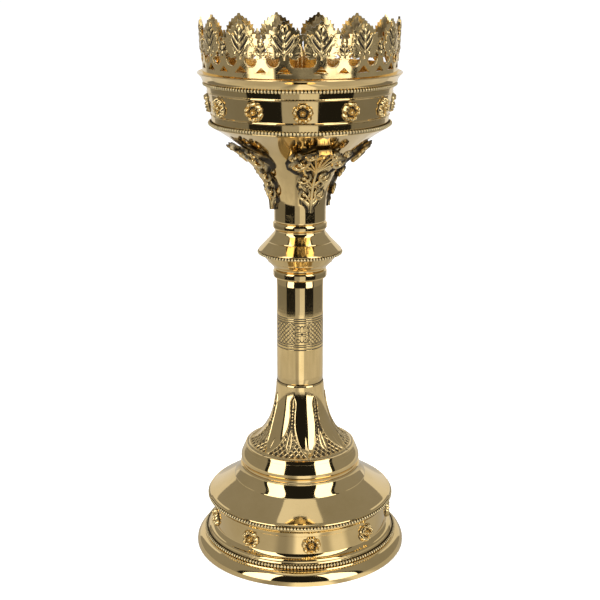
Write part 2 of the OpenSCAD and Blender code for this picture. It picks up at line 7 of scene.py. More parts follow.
import bmesh
import bpy
import numpy as np
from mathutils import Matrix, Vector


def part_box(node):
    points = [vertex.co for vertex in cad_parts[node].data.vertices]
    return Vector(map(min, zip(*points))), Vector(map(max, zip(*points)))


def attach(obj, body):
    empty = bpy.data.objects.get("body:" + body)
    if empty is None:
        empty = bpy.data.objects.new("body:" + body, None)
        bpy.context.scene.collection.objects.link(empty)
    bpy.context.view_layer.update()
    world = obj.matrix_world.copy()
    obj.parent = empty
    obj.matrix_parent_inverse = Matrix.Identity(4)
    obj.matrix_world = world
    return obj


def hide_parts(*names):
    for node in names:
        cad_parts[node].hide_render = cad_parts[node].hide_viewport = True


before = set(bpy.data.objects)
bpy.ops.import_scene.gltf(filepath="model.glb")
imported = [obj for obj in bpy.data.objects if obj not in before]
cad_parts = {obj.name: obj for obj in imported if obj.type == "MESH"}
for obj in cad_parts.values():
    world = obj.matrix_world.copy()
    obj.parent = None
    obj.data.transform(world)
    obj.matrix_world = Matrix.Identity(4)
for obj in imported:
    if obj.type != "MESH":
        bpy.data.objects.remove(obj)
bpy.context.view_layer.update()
print("frame loaded:", len(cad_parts), "nodes")

mm = 0.001


def lowEnd(node):
    return round(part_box(node)[0].z / mm, 2)


def highEnd(node):
    return round(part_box(node)[1].z / mm, 2)


def radiusOf(node):
    return round(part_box(node)[1].x / mm, 1)


heights = {
    "dome": highEnd("base_skirt"),
    "bell": lowEnd("bell"),
    "tube": lowEnd("stem_tube"),
    "collar": highEnd("stem_tube"),
    "knop": lowEnd("knop_lower"),
    "edge": lowEnd("knop_upper"),
    "collar2": lowEnd("upper_collar"),
    "neck": lowEnd("bowl"),
    "gallery": highEnd("bowl"),
    "lip": lowEnd("gallery_lip"),
    "crown": lowEnd("crown"),
}
radii = {
    "foot": radiusOf("base_skirt"),
    "dome": radiusOf("base_dome"),
    "tube": radiusOf("stem_tube"),
    "collar": radiusOf("upper_collar"),
    "knop": radiusOf("knop_upper"),
    "lip": radiusOf("gallery_lip"),
    "pan": 60.2,
    "bandFoot": 66.7,
    "step": 50.3,
    "bellFoot": 45.3,
    "neck": 19.0,
    "galleryFoot": 63.2,
    "galleryTop": 66.6,
}
wallThick = 1.8
print("heights", heights)


def gridQuads(rows, cols, wrapRows=False, wrapCols=False):
    # The four corner numbers of each face between neighbouring rows and columns.
    r = np.arange(rows if wrapRows else rows - 1)[:, None]
    c = np.arange(cols if wrapCols else cols - 1)[None, :]
    r2, c2 = (r + 1) % rows, (c + 1) % cols
    return np.stack([r * cols + c, r * cols + c2, r2 * cols + c2, r2 * cols + c], -1).reshape(-1, 4)


def onAxis(a, r, z):
    # A point at the angle a from the front: x = r sin a, y = -r cos a.
    return np.stack([r * np.sin(a), -r * np.cos(a), z + 0 * a], -1)


def readOff(stops, x):
    # Straight lines between the (place, value) stops.
    places, values = zip(*stops)
    return np.interp(x, places, values)


def putInScene(name, data):
    thing = bpy.data.objects.new(name, data)
    bpy.context.scene.collection.objects.link(thing)
    return thing


def joinGrids(parts):
    # Several (points, faces, recess) lists as one, the corner numbers moved on.
    points, faces, recess, n = [], [], [], 0
    for p, f, *rest in parts:
        points.append(p)
        faces.append(f + n)
        recess.append(rest[0] if rest else np.zeros(len(p)))
        n += len(p)
    return np.concatenate(points), np.concatenate(faces), np.concatenate(recess)


def makePiece(name, points, faces, material, body="stand", slot=None, nodes=(), recess=None, sharp=35, weld=1e-6):
    # Points in millimetres and four-cornered faces become a closed mesh: doubles are merged
    # and the faces turned outwards.
    mesh = bpy.data.meshes.new(name)
    mesh.vertices.add(len(points))
    mesh.vertices.foreach_set("co", (np.asarray(points) * mm).astype(np.float32).ravel())
    mesh.loops.add(faces.size)
    mesh.loops.foreach_set("vertex_index", faces.astype(np.int32).ravel())
    mesh.polygons.add(len(faces))
    mesh.polygons.foreach_set("loop_start", np.arange(0, faces.size, 4, dtype=np.int32))
    mesh.update(calc_edges=True)
    if recess is not None:
        hollow = mesh.attributes.new("recess", "FLOAT", "POINT")
        hollow.data.foreach_set("value", recess.astype(np.float32))
    work = bmesh.new()
    work.from_mesh(mesh)
    bmesh.ops.remove_doubles(work, verts=work.verts, dist=weld)
    bmesh.ops.dissolve_degenerate(work, edges=work.edges, dist=1e-8)
    bmesh.ops.recalc_face_normals(work, faces=work.faces)
    work.to_mesh(mesh)
    work.free()
    mesh.validate()
    mesh.shade_smooth()
    mesh.set_sharp_from_angle(angle=math.radians(sharp))
    mesh.materials.append(material)
    piece = putInScene(name, mesh)
    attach(piece, body)
    if nodes:
        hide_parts(*nodes)


def curve(a, b, c, d, n=26):
    # A cubic curve from a to d with handles b and c: the four corners weighted by
    # (1-t)^3, 3(1-t)^2 t, 3(1-t) t^2 and t^3.
    t = np.linspace(0, 1, n + 1)[:, None]
    a, b, c, d = (np.asarray(p, float) for p in (a, b, c, d))
    return (1 - t) ** 3 * a + 3 * (1 - t) ** 2 * t * b + 3 * (1 - t) * t * t * c + t ** 3 * d


def inset(path, t):
    # The path moved sideways by t, towards the axis where it climbs.
    d = np.gradient(np.asarray(path, float), axis=0)
    return path + t * np.stack([-d[:, 1], d[:, 0]], 1) / np.linalg.norm(d, axis=1)[:, None]


def chain(*parts):
    return np.vstack([np.asarray(p, float).reshape(-1, 2) for p in parts])


def softened(outline, radius=0.25, steps=4, longSide=3.5, guard=0.15, spacing=2.5):
    # Each sharp corner of a closed outline is cut back along both sides and bridged by a quadratic curve;
    # a long side gets points near its ends and along it, so that its shading stays flat.
    p = np.asarray(outline, float)
    before, after = np.roll(p, 1, 0) - p, np.roll(p, -1, 0) - p
    lengthB = np.linalg.norm(before, axis=1)[:, None]
    lengthA = np.linalg.norm(after, axis=1)[:, None]
    turn = np.arccos(np.clip(-(before * after).sum(1)[:, None] / (lengthB * lengthA), -1, 1))
    room = 0.42 * np.minimum(lengthB, lengthA)
    cut = np.minimum(radius * np.tan(np.minimum(turn, 2.6) / 2), room) * (turn > 0.2)
    start, end = p + before / lengthB * cut, p + after / lengthA * cut
    t = np.linspace(0, 1, steps + 1)[:, None, None]
    bends = ((1 - t) ** 2 * start + 2 * t * (1 - t) * p + t * t * end).transpose(1, 0, 2)
    rows = []
    for k in range(len(p)):
        rows.append(bends[k] if cut[k, 0] > 0 else p[k:k + 1])
        side = start[(k + 1) % len(p)] - end[k]
        length = np.linalg.norm(side)
        if length > longSide:
            places = np.linspace(guard / length, 1 - guard / length, max(2, int(length / spacing) + 1))
            rows.append(end[k] + places[:, None] * side)
    return np.vstack(rows)


def carryRound(profile, segments):
    # Each profile point (radius, height) carried round the axis.
    a = np.arange(segments) * 2 * np.pi / segments
    return onAxis(a, profile[:, :1], profile[:, 1:]).reshape(-1, 3)


def turned(name, outline, material, segments=224, radius=0.25, **kw):
    # A closed outline in the half plane, softened and carried round the axis.
    profile = softened(outline, radius)
    makePiece(name, carryRound(profile, segments), gridQuads(len(profile), segments, True, True), material, **kw)


def sheetSolid(front, back, recess=None):
    # Rows of a front and a back grid joined into rings; the two end rings are pinched onto their middle line.
    def pinch(k):
        m = (front[k] + back[k]) / 2
        return np.concatenate([m, m[::-1]])[None]
    rings = np.concatenate([front, back[:, ::-1]], 1)
    rings = np.concatenate([pinch(0), rings, pinch(-1)], 0)
    rows, cols = rings.shape[:2]
    mask = np.zeros((rows, cols))
    if recess is not None:
        mask[1:-1] = np.concatenate([recess, 0.6 + 0 * recess], 1)
        mask[0], mask[-1] = mask[1], mask[-2]
    return rings.reshape(-1, 3), gridQuads(rows, cols, wrapCols=True), mask.ravel()


def tubeAlong(path, radius, sides=8, closed=False, flat=(0, 0, 1)):
    # A round profile carried along a path: each ring lies across the path's direction;
    # flat is a direction never along it.
    path = np.asarray(path, float)
    if closed:
        d = np.roll(path, -1, 0) - np.roll(path, 1, 0)
    else:
        d = np.gradient(path, axis=0)
    d /= np.linalg.norm(d, axis=1)[:, None]
    side = np.cross(d, np.broadcast_to(flat, d.shape))
    side /= np.maximum(np.linalg.norm(side, axis=1)[:, None], 1e-9)
    up = np.cross(side, d)
    a = np.arange(sides) * 2 * np.pi / sides
    r = np.broadcast_to(np.asarray(radius, float), (len(path),))[:, None, None]
    rings = path[:, None] + r * (np.cos(a)[:, None] * side[:, None] + np.sin(a)[:, None] * up[:, None])
    if not closed:
        ends = [np.repeat(path[k][None, None], sides, 1) for k in (0, -1)]
        rings = np.concatenate([ends[0], rings, ends[1]], 0)
    rows = len(rings)
    return rings.reshape(-1, 3), gridQuads(rows, sides, closed, True), np.zeros(rows * sides)


def ball(centre, radius, cols=12, rows=8):
    # A sphere from its latitude and longitude; radius may be one number or one for each axis.
    v = np.linspace(-np.pi / 2, np.pi / 2, rows + 1)[:, None]
    u = np.arange(cols)[None] * 2 * np.pi / cols
    unit = np.stack([np.cos(v) * np.cos(u), np.cos(v) * np.sin(u), np.sin(v) + 0 * u], -1)
    points = (unit * radius + np.asarray(centre, float)).reshape(-1, 3)
    return points, gridQuads(rows + 1, cols, wrapCols=True), np.zeros(len(points))


def smoothStep(x, low, high):
    # 0 below low, 1 above high, and 3t^2 - 2t^3 between them.
    t = np.clip((x - low) / (high - low), 0, 1)
    return t * t * (3 - 2 * t)


def addNode(tree, kind, values=None, **settings):
    node = tree.nodes.new(kind)
    for key, value in settings.items():
        setattr(node, key, value)
    for key, value in (values or {}).items():
        if isinstance(value, bpy.types.NodeSocket):
            tree.links.new(value, node.inputs[key])
        else:
            node.inputs[key].default_value = value
    return node


def mathOut(tree, operation, a, b=0.0, c=0.0):
    node = addNode(tree, "ShaderNodeMath", {0: a, 1: b, 2: c}, operation=operation)
    return node.outputs[0]


def newGroup(name, inputs, outputs):
    # A shader node group with named sockets; returns the tree, its input node and its output node.
    tree = bpy.data.node_groups.new(name, "ShaderNodeTree")
    for label, kind, value in inputs:
        item = tree.interface.new_socket(label, in_out="INPUT", socket_type=kind)
        item.default_value = value
    for label, kind in outputs:
        tree.interface.new_socket(label, in_out="OUTPUT", socket_type=kind)
    return tree, tree.nodes.new("NodeGroupInput"), tree.nodes.new("NodeGroupOutput")


def buildHandPolish():
    # Slow waves and fine turning marks left by the polishing wheel, as a normal and a small change of roughness.
    tree, given, made = newGroup(
        "handPolish",
        [("Waver", "NodeSocketFloat", 0.1), ("Marks", "NodeSocketFloat", 0.05), ("Roughness", "NodeSocketFloat", 0.1)],
        [("Normal", "NodeSocketVector"), ("Roughness", "NodeSocketFloat"), ("Tarnish", "NodeSocketFloat")])
    place = addNode(tree, "ShaderNodeTexCoord").outputs["Object"]
    waves = addNode(tree, "ShaderNodeTexNoise", {"Vector": place, "Scale": 38.0, "Detail": 1.0})
    bands = addNode(tree, "ShaderNodeMapping", {"Vector": place, "Scale": (6.0, 6.0, 900.0)})
    lines = addNode(tree, "ShaderNodeTexNoise", {"Vector": bands.outputs[0], "Scale": 1.0, "Detail": 2.0})
    first = addNode(tree, "ShaderNodeBump", {
        "Height": waves.outputs["Fac"], "Strength": given.outputs["Waver"], "Distance": 0.002})
    second = addNode(tree, "ShaderNodeBump", {
        "Height": lines.outputs["Fac"], "Strength": given.outputs["Marks"], "Distance": 0.0003,
        "Normal": first.outputs[0]})
    clouds = addNode(tree, "ShaderNodeTexNoise", {"Vector": place, "Scale": 22.0, "Detail": 5.0, "Roughness": 0.65})
    spread = addNode(tree, "ShaderNodeMapRange", {"Value": clouds.outputs["Fac"], "From Min": 0.42, "From Max": 0.72})
    extra = mathOut(tree, "MULTIPLY_ADD", spread.outputs[0], 0.05, given.outputs["Roughness"])
    tree.links.new(second.outputs[0], made.inputs["Normal"])
    tree.links.new(extra, made.inputs["Roughness"])
    tree.links.new(spread.outputs[0], made.inputs["Tarnish"])
    return tree


def buildDarkRecess():
    # The patina left in the hollows of a cast piece, and the painted shade some pieces put in their gaps and round
    # their edges: its attribute "recess" mixes the metal into the dark.
    tree, given, made = newGroup(
        "darkRecess",
        [("Metal", "NodeSocketColor", (0.8, 0.6, 0.3, 1)), ("Dark", "NodeSocketColor", (0.02, 0.02, 0.01, 1)),
         ("Amount", "NodeSocketFloat", 1.0), ("Roughness", "NodeSocketFloat", 0.2)],
        [("Color", "NodeSocketColor"), ("Roughness", "NodeSocketFloat"), ("Metallic", "NodeSocketFloat")])
    depth = addNode(tree, "ShaderNodeAttribute", attribute_name="recess").outputs["Fac"]
    place = addNode(tree, "ShaderNodeTexCoord").outputs["Object"]
    stains = addNode(tree, "ShaderNodeTexNoise", {"Vector": place, "Scale": 260.0, "Detail": 3.0}).outputs["Fac"]
    blurred = mathOut(tree, "MULTIPLY_ADD", stains, 0.5, mathOut(tree, "SUBTRACT", depth, 0.25))
    mask = addNode(tree, "ShaderNodeMapRange", {"Value": blurred, "From Min": 0.15, "From Max": 0.75})
    amount = mathOut(tree, "MULTIPLY", mask.outputs[0], given.outputs["Amount"])
    colour = addNode(tree, "ShaderNodeMix", {"Factor": amount}, data_type="RGBA")
    for socket, label in ((6, "Metal"), (7, "Dark")):
        tree.links.new(given.outputs[label], colour.inputs[socket])
    rough = mathOut(tree, "MULTIPLY_ADD", amount, 0.3, given.outputs["Roughness"])
    metal = mathOut(tree, "MULTIPLY_ADD", amount, -0.45, 1.0)
    tree.links.new(colour.outputs[2], made.inputs["Color"])
    tree.links.new(rough, made.inputs["Roughness"])
    tree.links.new(metal, made.inputs["Metallic"])
    return tree


def makeMetal(name, colour, shade, roughness, waver=0.1, marks=0.05, recess=0.0, dark=(0.03, 0.02, 0.01)):
    # A polished metal; with recess above 0 its hollows carry the dark patina and any painted shade that a piece's
    # recess attribute holds.
    material = bpy.data.materials.new(name)
    material.use_nodes = True
    tree = material.node_tree
    shader = tree.nodes["Principled BSDF"]
    polish = addNode(tree, "ShaderNodeGroup", node_tree=handPolish)
    for label, value in (("Waver", waver), ("Marks", marks), ("Roughness", roughness)):
        polish.inputs[label].default_value = value
    tint = addNode(tree, "ShaderNodeMix", {"Factor": polish.outputs["Tarnish"]}, data_type="RGBA")
    tint.inputs[6].default_value = (*colour, 1)
    tint.inputs[7].default_value = (*shade, 1)
    tree.links.new(polish.outputs["Normal"], shader.inputs["Normal"])
    if recess:
        patina = addNode(tree, "ShaderNodeGroup", node_tree=darkRecess)
        tree.links.new(tint.outputs[2], patina.inputs["Metal"])
        patina.inputs["Dark"].default_value = (*dark, 1)
        patina.inputs["Amount"].default_value = recess
        tree.links.new(polish.outputs["Roughness"], patina.inputs["Roughness"])
        for label, socket in (("Color", "Base Color"), ("Roughness", "Roughness"), ("Metallic", "Metallic")):
            tree.links.new(patina.outputs[label], shader.inputs[socket])
    else:
        tree.links.new(tint.outputs[2], shader.inputs["Base Color"])
        tree.links.new(polish.outputs["Roughness"], shader.inputs["Roughness"])
        shader.inputs["Metallic"].default_value = 1.0
    return material


handPolish = buildHandPolish()
darkRecess = buildDarkRecess()
brassGold = (0.90, 0.67, 0.32)
brassOlive = (0.80, 0.585, 0.26)
spunBrass = makeMetal("spunBrass", brassGold, brassOlive, 0.045, 0.05, 0.03)
engravedBrass = makeMetal(
    "engravedBrass", brassGold, brassOlive, 0.05, 0.06, 0.02, recess=0.97, dark=(0.03, 0.022, 0.010))
beadedBrass = makeMetal(
    "beadedBrass", (0.97, 0.79, 0.43), (0.93, 0.72, 0.37), 0.27, 0.0, 0.0, recess=0.97, dark=(0.012, 0.009, 0.004))
castBrass = makeMetal(
    "castBrass", (0.90, 0.68, 0.33), (0.76, 0.57, 0.26), 0.12, 0.2, 0.0, recess=0.98, dark=(0.014, 0.010, 0.006))
panBrass = makeMetal("panBrass", (0.86, 0.62, 0.27), (0.62, 0.43, 0.18), 0.16, 0.08, 0.15)
rivetBrass = makeMetal("rivetBrass", (0.82, 0.62, 0.28), (0.6, 0.45, 0.2), 0.25)
steelGrey = makeMetal("steelGrey", (0.55, 0.56, 0.58), (0.42, 0.42, 0.43), 0.3, 0.1, 0.1)
print("materials made")


base = {
    "ledge": heights["dome"] - 28.2, "band": heights["dome"] - 22.6, "cornice": heights["dome"] - 8.8,
    "footHigh": 9.4, "segments": 256,
}


def buildBase():
    f, b, s = radii["foot"], radii["bandFoot"], radii["step"]
    h, ledge, band, cornice, dome = base["footHigh"], base["ledge"], base["band"], base["cornice"], heights["dome"]
    bellFoot, bell, d = radii["bellFoot"], heights["bell"], radii["dome"]
    step = bell - 9.9
    bead, bead2 = b + 5, d - 1.3
    skirtOut = chain(
        [(f - 0.7, 0), (f, 1.2)],
        curve((f, 2), (f, 5.2), (f - 2.2, h - 1.2), (b + 8.3, h - 0.2), 14),
        [(b + 7.6, h), (b + 7.4, h + 0.9), (bead, h + 1.5), (bead, ledge - 0.2), (b + 4.4, ledge + 0.4),
         (b + 4.2, ledge + 1.6)],
        curve((b + 3.4, ledge + 2.4), (b + 1.6, ledge + 3), (b + 0.2, ledge + 4.2), (b, band), 10),
        [(b, cornice), (b + 0.5, cornice + 0.3), (b + 0.5, cornice + 0.9)],
        curve((b + 0.5, cornice + 1.4), (b + 0.7, cornice + 3.6),
              (bead2 - 0.5, cornice + 4), (bead2, cornice + 6), 10),
        [(bead2, dome)])
    skirtIn = chain(
        [(f - 3.3, 0), (f - 2.6, 2.4)],
        curve((f - 2.6, 3), (f - 3, 5), (b + 8.4, h - 3.4), (b + 6.6, h - 2), 6),
        [(b + 3.2, h + 0.6), (b + 2.4, ledge + 1), (b - wallThick, band - 1), (b - wallThick, cornice),
         (bead2 - wallThick, cornice + 6.4), (bead2 - wallThick, dome)])
    turned("baseSkirt", chain(skirtOut, skirtIn[::-1]), spunBrass, base["segments"],
           slot="spun_brass", nodes=["base_skirt"])
    slope = curve((d - 2.2, dome + 2.1), (d - 8, dome + 5.5), (s + 6.2, step - 4.3), (s + 0.1, step), 18)
    domeOut = chain(
        [(d - 0.3, dome), (d, dome + 0.5), (d - 0.2, dome + 1.1), (d - 1, dome + 1.7)], slope,
        curve((s, step + 0.5), (s - 1.5, step + 2.8), (bellFoot + 1.3, bell - 4.8), (bellFoot + 0.6, bell - 1.6), 12),
        [(bellFoot + 0.6, bell - 0.8), (bellFoot - 0.4, bell)])
    domeIn = chain(
        [(bead2 - wallThick, dome), (bead2 - wallThick, dome + 0.2)], inset(slope, wallThick)[::3],
        [(bellFoot - 1.6, bell - 3.4), (bellFoot - 2, bell - 2), (4.25, bell - 2), (4.25, bell)])
    turned("baseDome", chain(domeOut, domeIn[::-1]), spunBrass, base["segments"],
           slot="spun_brass", nodes=["base_dome"])


buildBase()


# Each ring: its node, the radius of the wall behind it, its middle's height, and how high and deep it is.
beads = {
    "pitch": 2.45, "core": 0.3, "cols": 8, "rows": 7, "wireSegments": 192,
    "rings": [
        ("base_lower_bead_ring", 71.7, 12.1, 2.5, 2.4),
        ("base_upper_bead_ring", 68.8, heights["dome"] - 1.2, 2.5, 2.4),
        ("knop_bead_ring", 29.0, heights["edge"] - 1.3, 2.3, 2.3),
        ("gallery_lower_bead_ring", radii["galleryFoot"], heights["gallery"] + 1.2, 2.5, 2.5),
        ("gallery_upper_bead_ring", radii["galleryTop"], heights["lip"] - 1.2, 2.5, 2.4)],
}


def buildBeads(node, back, z, high, deep):
    # Small balls at even steps round the axis on a thin round wire, which stands in a flat dark strip; the wire is
    # painted fully dark and each bead darker on its sides and back, as painted shade in the gaps between and behind
    # the beads.
    cols, rows, segments = beads["cols"], beads["rows"], beads["wireSegments"]
    middle = back + deep - high / 2 + 0.15
    count = int(round(2 * math.pi * middle / (beads["pitch"] * high / 2.5)))
    t = np.linspace(-np.pi / 2, np.pi / 2, rows)
    v, u = t[:, None], np.arange(cols)[None] * 2 * np.pi / cols
    r = high / 2 * 0.99
    unit = np.stack([np.sin(v) + 0 * u, np.cos(v) * np.cos(u), np.cos(v) * np.sin(u)], -1).reshape(-1, 3) * r
    a = (np.arange(count) + 0.5) * 2 * np.pi / count
    frames = np.stack([onAxis(a, 1, 0 * a), onAxis(a + np.pi / 2, 1, 0 * a), onAxis(a, 0, 1 + 0 * a)], 1)
    points = onAxis(a, middle, z)[:, None] + unit @ frames
    faces = gridQuads(rows, cols, wrapCols=True)[None] + np.arange(count)[:, None, None] * rows * cols
    # Painted shade on each bead: darker where it faces its neighbours and where it faces the wall.
    side = np.maximum(smoothStep(np.abs(unit[:, 1]) / r, 0.45, 0.8), smoothStep(-unit[:, 0] / r, 0.1, 0.4))
    core = beads["core"] * high / 2
    bulge = np.stack([middle - 0.35 + core * np.cos(t), z + core * np.sin(t)], 1)
    wire = chain([(back - 0.05, z - core)], bulge, [(back - 0.05, z + core)])
    p2, f2 = carryRound(wire, segments), gridQuads(len(wire), segments, True, True)
    # The wire takes the full dark mix: painted shade behind and between the beads.
    points, faces, recess = joinGrids([
        (points.reshape(-1, 3), faces.reshape(-1, 4), np.tile(side, count)), (p2, f2, np.ones(len(p2)))])
    makePiece(node + "_beads", points, faces, beadedBrass, slot="beaded_brass", nodes=[node], recess=recess, sharp=60)


for ring in beads["rings"]:
    buildBeads(*ring)
print("base and beads built")


# The gap between two petals, its leaf and its stem: (height in millimetres, half width in degrees) from the foot up.
bell = {
    "petals": 7, "turn": 10.0, "columns": 540, "rows": 160, "depth": 1.0, "footHigh": 15.7,
    "gapLow": 82.6, "gapHigh": 124.2, "leafLow": 84.4, "leafHigh": 102.0, "stemLow": 97.0, "stemHigh": 122.6,
    "crest": 115.6, "bar": 2.3, "crossed": 4.6, "slant": 1.3,
    "gap": [(82.6, 23.4), (84, 20.5), (86.5, 16.6), (90, 12.4), (95, 8.6), (100, 5.6), (104, 4.3), (110, 4.1),
            (114, 4.9), (118, 5.6), (121, 3.8), (124, 0.1)],
    "leaf": [(84.6, 0.0), (86, 4.5), (88.5, 8.2), (92, 7.4), (96, 4.8), (99.5, 2.6), (101.5, 1.2)],
    "stem": [(98, 1.4), (101, 1.5), (106, 1.9), (112, 2.3), (116, 2.9), (118.5, 3.6), (120.5, 3.0), (122.5, 0.1)],
}


def bellFlare(n):
    t, foot, z0, z1 = radii["tube"], radii["bellFoot"], heights["bell"] + bell["footHigh"], heights["tube"]
    return curve((foot - 4.4, z0 + 0.2), (foot - 16.3, z0 + 4.5), (t + 2.1, z0 + 18.5), (t + 0.5, z1 - 0.6), n)


def fromPanels(a, panels, turn):
    # The angle from the middle of the nearest of the even panels.
    step = 2 * np.pi / panels
    return (a - math.radians(turn) + step / 2) % step - step / 2


def bellRelief(a, z):
    # Long smooth petals meet the ground along raised lines. Between two petals a beaded stem comes down
    # from a crest and spreads into a lobed leaf on a ground of crossed lines.
    q = fromPanels(a, bell["petals"], bell["turn"])
    off = np.abs(np.abs(q) - np.pi / bell["petals"])  # the angle from the middle of the gap
    deg = np.degrees(off)
    low = bell["gapLow"]
    half = readOff(bell["gap"], z)
    inGap = smoothStep(half - deg, -0.25, 0.45) * smoothStep(z, low, low + 0.5) * (z < bell["gapHigh"])
    # The lobed leaf: three tongues that hang from the stem, with a rib down each.
    leafHalf = readOff(bell["leaf"], z)
    leaf = smoothStep(leafHalf - deg, -0.2, 0.9) * (z > bell["leafLow"]) * (z < bell["leafHigh"])
    tongue = np.abs(np.sin(np.pi * deg / np.maximum(leafHalf, 0.8) * 1.25 + 0.1))
    leafHigh = leaf * (0.55 + 0.5 * tongue * smoothStep(z, bell["leafHigh"] - 1, bell["leafHigh"] - 7))
    # The stem: a row of small bars under a round crest.
    stem = smoothStep(readOff(bell["stem"], z) - deg, -0.3, 0.7) * (z > bell["stemLow"]) * (z < bell["stemHigh"])
    bars = 0.5 + 0.5 * np.cos(2 * np.pi * z / bell["bar"])
    stemHigh = stem * np.where(z > bell["crest"], 0.75 + 0.3 * np.cos(deg * 1.2), 0.35 + 0.6 * bars)
    # The ground: lines crossed at a slant.
    rise = z - 82
    around, slant = off * (radii["tube"] + 22 - rise * 0.5), rise * bell["slant"]
    lattice = np.maximum(*(np.cos(2 * np.pi * (around + way * slant) / bell["crossed"]) for way in (1, -1)))
    ground = smoothStep(lattice, 0.35, 0.8) * 0.85 * (z < bell["stemLow"])
    rim = np.exp(-(deg - half - 0.6) ** 2) * smoothStep(z, low - 0.2, low + 1) * (z < 123) * 0.55
    line = np.exp(-((z - (low - 0.55)) / 0.32) ** 2)
    inside = np.maximum(ground, np.maximum(leafHigh, stemHigh))
    midrib = np.exp(-(np.degrees(q) / 0.9) ** 2) * smoothStep(z, 98, 86) * 0.28
    joint = smoothStep(z, heights["tube"] - 0.9, heights["tube"] - 0.2)
    high = bell["depth"] * (-inGap * (1 - inside) + rim * (1 - inGap))
    high = high - 0.28 * line - midrib * (1 - inGap) - 0.3 * joint
    dark = inGap * (1 - smoothStep(inside, 0.1, 0.85)) + 0.6 * line + 0.5 * midrib
    edge = np.exp(-((deg - half + 0.35) * 2.2) ** 2) * smoothStep(z, low, low + 1) * (z < 123.5)
    furrow = leaf * (1 - tongue) + stem * (z < bell["crest"]) * (1 - bars)
    return high, np.clip(dark + 0.7 * edge + 0.8 * furrow + joint, 0, 1)


def reliefShell(name, outer, inner, columns, relief, nodes=()):
    # The outer rows carried round the axis and moved along their own normals by the relief; the inner rows
    # close the wall.
    d = np.gradient(outer, axis=0)
    normal = np.stack([d[:, 1], -d[:, 0]], 1) / np.linalg.norm(d, axis=1)[:, None]
    a = np.arange(columns) * 2 * np.pi / columns
    high, dark = relief(a[None, :], outer[:, 1:])
    front = onAxis(a, outer[:, :1] + normal[:, :1] * high, outer[:, 1:] + normal[:, 1:] * high)
    back = carryRound(inner, columns).reshape(len(inner), columns, 3)
    points = np.concatenate([front, back[::-1]], 0)
    recess = np.concatenate([dark, np.zeros((len(inner), columns))], 0)
    makePiece(name, points.reshape(-1, 3), gridQuads(len(points), columns, True, True), engravedBrass,
              nodes=nodes, slot="engraved_brass", recess=recess.ravel(), sharp=70)


def buildBell():
    foot, z, z1 = radii["bellFoot"], heights["bell"], heights["bell"] + bell["footHigh"]
    torus = chain(
        [(foot - 0.9, z), (foot - 1.1, z + 1.4), (foot - 0.7, z + 2.8)],
        curve((foot - 0.1, z + 3.8), (foot + 0.5, z + 7), (foot - 1.8, z1 - 5), (foot - 3.6, z1 - 0.9), 22),
        [(foot - 3.8, z1)])
    inner = [(foot - 0.9 - wallThick, z), (foot - 1 - wallThick, z1 - 2.5), (foot - 6.2, z1 - 0.6)]
    turned("bellFoot", chain(torus, np.array(inner)[::-1]), spunBrass, 256, slot="spun_brass", nodes=["bell"])
    inside = inset(bellFlare(10), wallThick)
    outer = chain([(foot - 3.8, z1)], bellFlare(bell["rows"]), [(radii["tube"] + 0.2, heights["tube"])])
    inner = chain([(foot - 6.2, z1 - 0.6)], inside[:-1], [(radii["tube"] - 4, heights["tube"])])
    reliefShell("bellFlare", outer, inner, bell["columns"], bellRelief)


buildBell()
print("bell built")

stem = {
    "bandLow": 164.0, "bandHigh": 181.0, "panels": 4, "turn": 5.0, "depth": 0.07, "columns": 640, "bandRows": 112,
    "medallionHalf": 17.0, "diamondWide": 3.45, "diamondHigh": 3.4, "scroll": (3.0, 4.9),
    "lines": [(184.2, 0.35), (182.6, 0.35), (162.6, 0.35), (160.2, 0.35), (164.0, 0.3), (181.0, 0.3)],
}


def stemRelief(a, z):
    # Two turned lines above and below a band of four medallions with crossed lines between them.
    low, high = stem["bandLow"], stem["bandHigh"]
    q = fromPanels(a, stem["panels"], stem["turn"])
    deg = np.abs(np.degrees(q))
    inBand = smoothStep(z, low, low + 0.4) * smoothStep(-z, -high, 0.4 - high)
    edges = sum(np.exp(-((z - level) / wide) ** 2) for level, wide in stem["lines"])
    u, v = a * radii["tube"] / stem["diamondWide"], (z - low) / stem["diamondHigh"]
    crossed = np.maximum(np.cos(2 * np.pi * (u + v)), np.cos(2 * np.pi * (u - v)))
    lattice = smoothStep(crossed, 0.7, 0.9) * (deg > stem["medallionHalf"])
    # The medallion: four pointed leaves about a centre, each with a vein, and a scroll in every corner.
    x, y = q * radii["tube"], z - (low + high) / 2
    radius, turn = np.hypot(x, y * 0.8), np.arctan2(y * 0.8, x)
    petal = 1.4 + 3.6 * np.abs(np.cos(2 * turn)) ** 1.6
    vein = np.exp(-((np.abs(np.sin(2 * turn)) * radius) / 0.5) ** 2) * (radius < 3.6)
    flower = np.exp(-((radius - petal) / 0.34) ** 2) + 0.7 * vein + np.exp(-(radius / 0.8) ** 2)
    scrollX, scrollY = np.abs(x) - stem["scroll"][0], np.abs(y) - stem["scroll"][1]
    swirl = np.hypot(scrollX, scrollY) - 0.9 - 0.28 * (np.arctan2(scrollY, scrollX) + np.pi) / 2
    medallion = np.clip(flower + np.exp(-(swirl / 0.3) ** 2), 0, 1) * (deg <= stem["medallionHalf"])
    border = np.exp(-((deg - stem["medallionHalf"]) / 0.9) ** 2)
    cut = np.clip((lattice + medallion + border) * inBand + edges, 0, 1)
    return -stem["depth"] * cut, cut


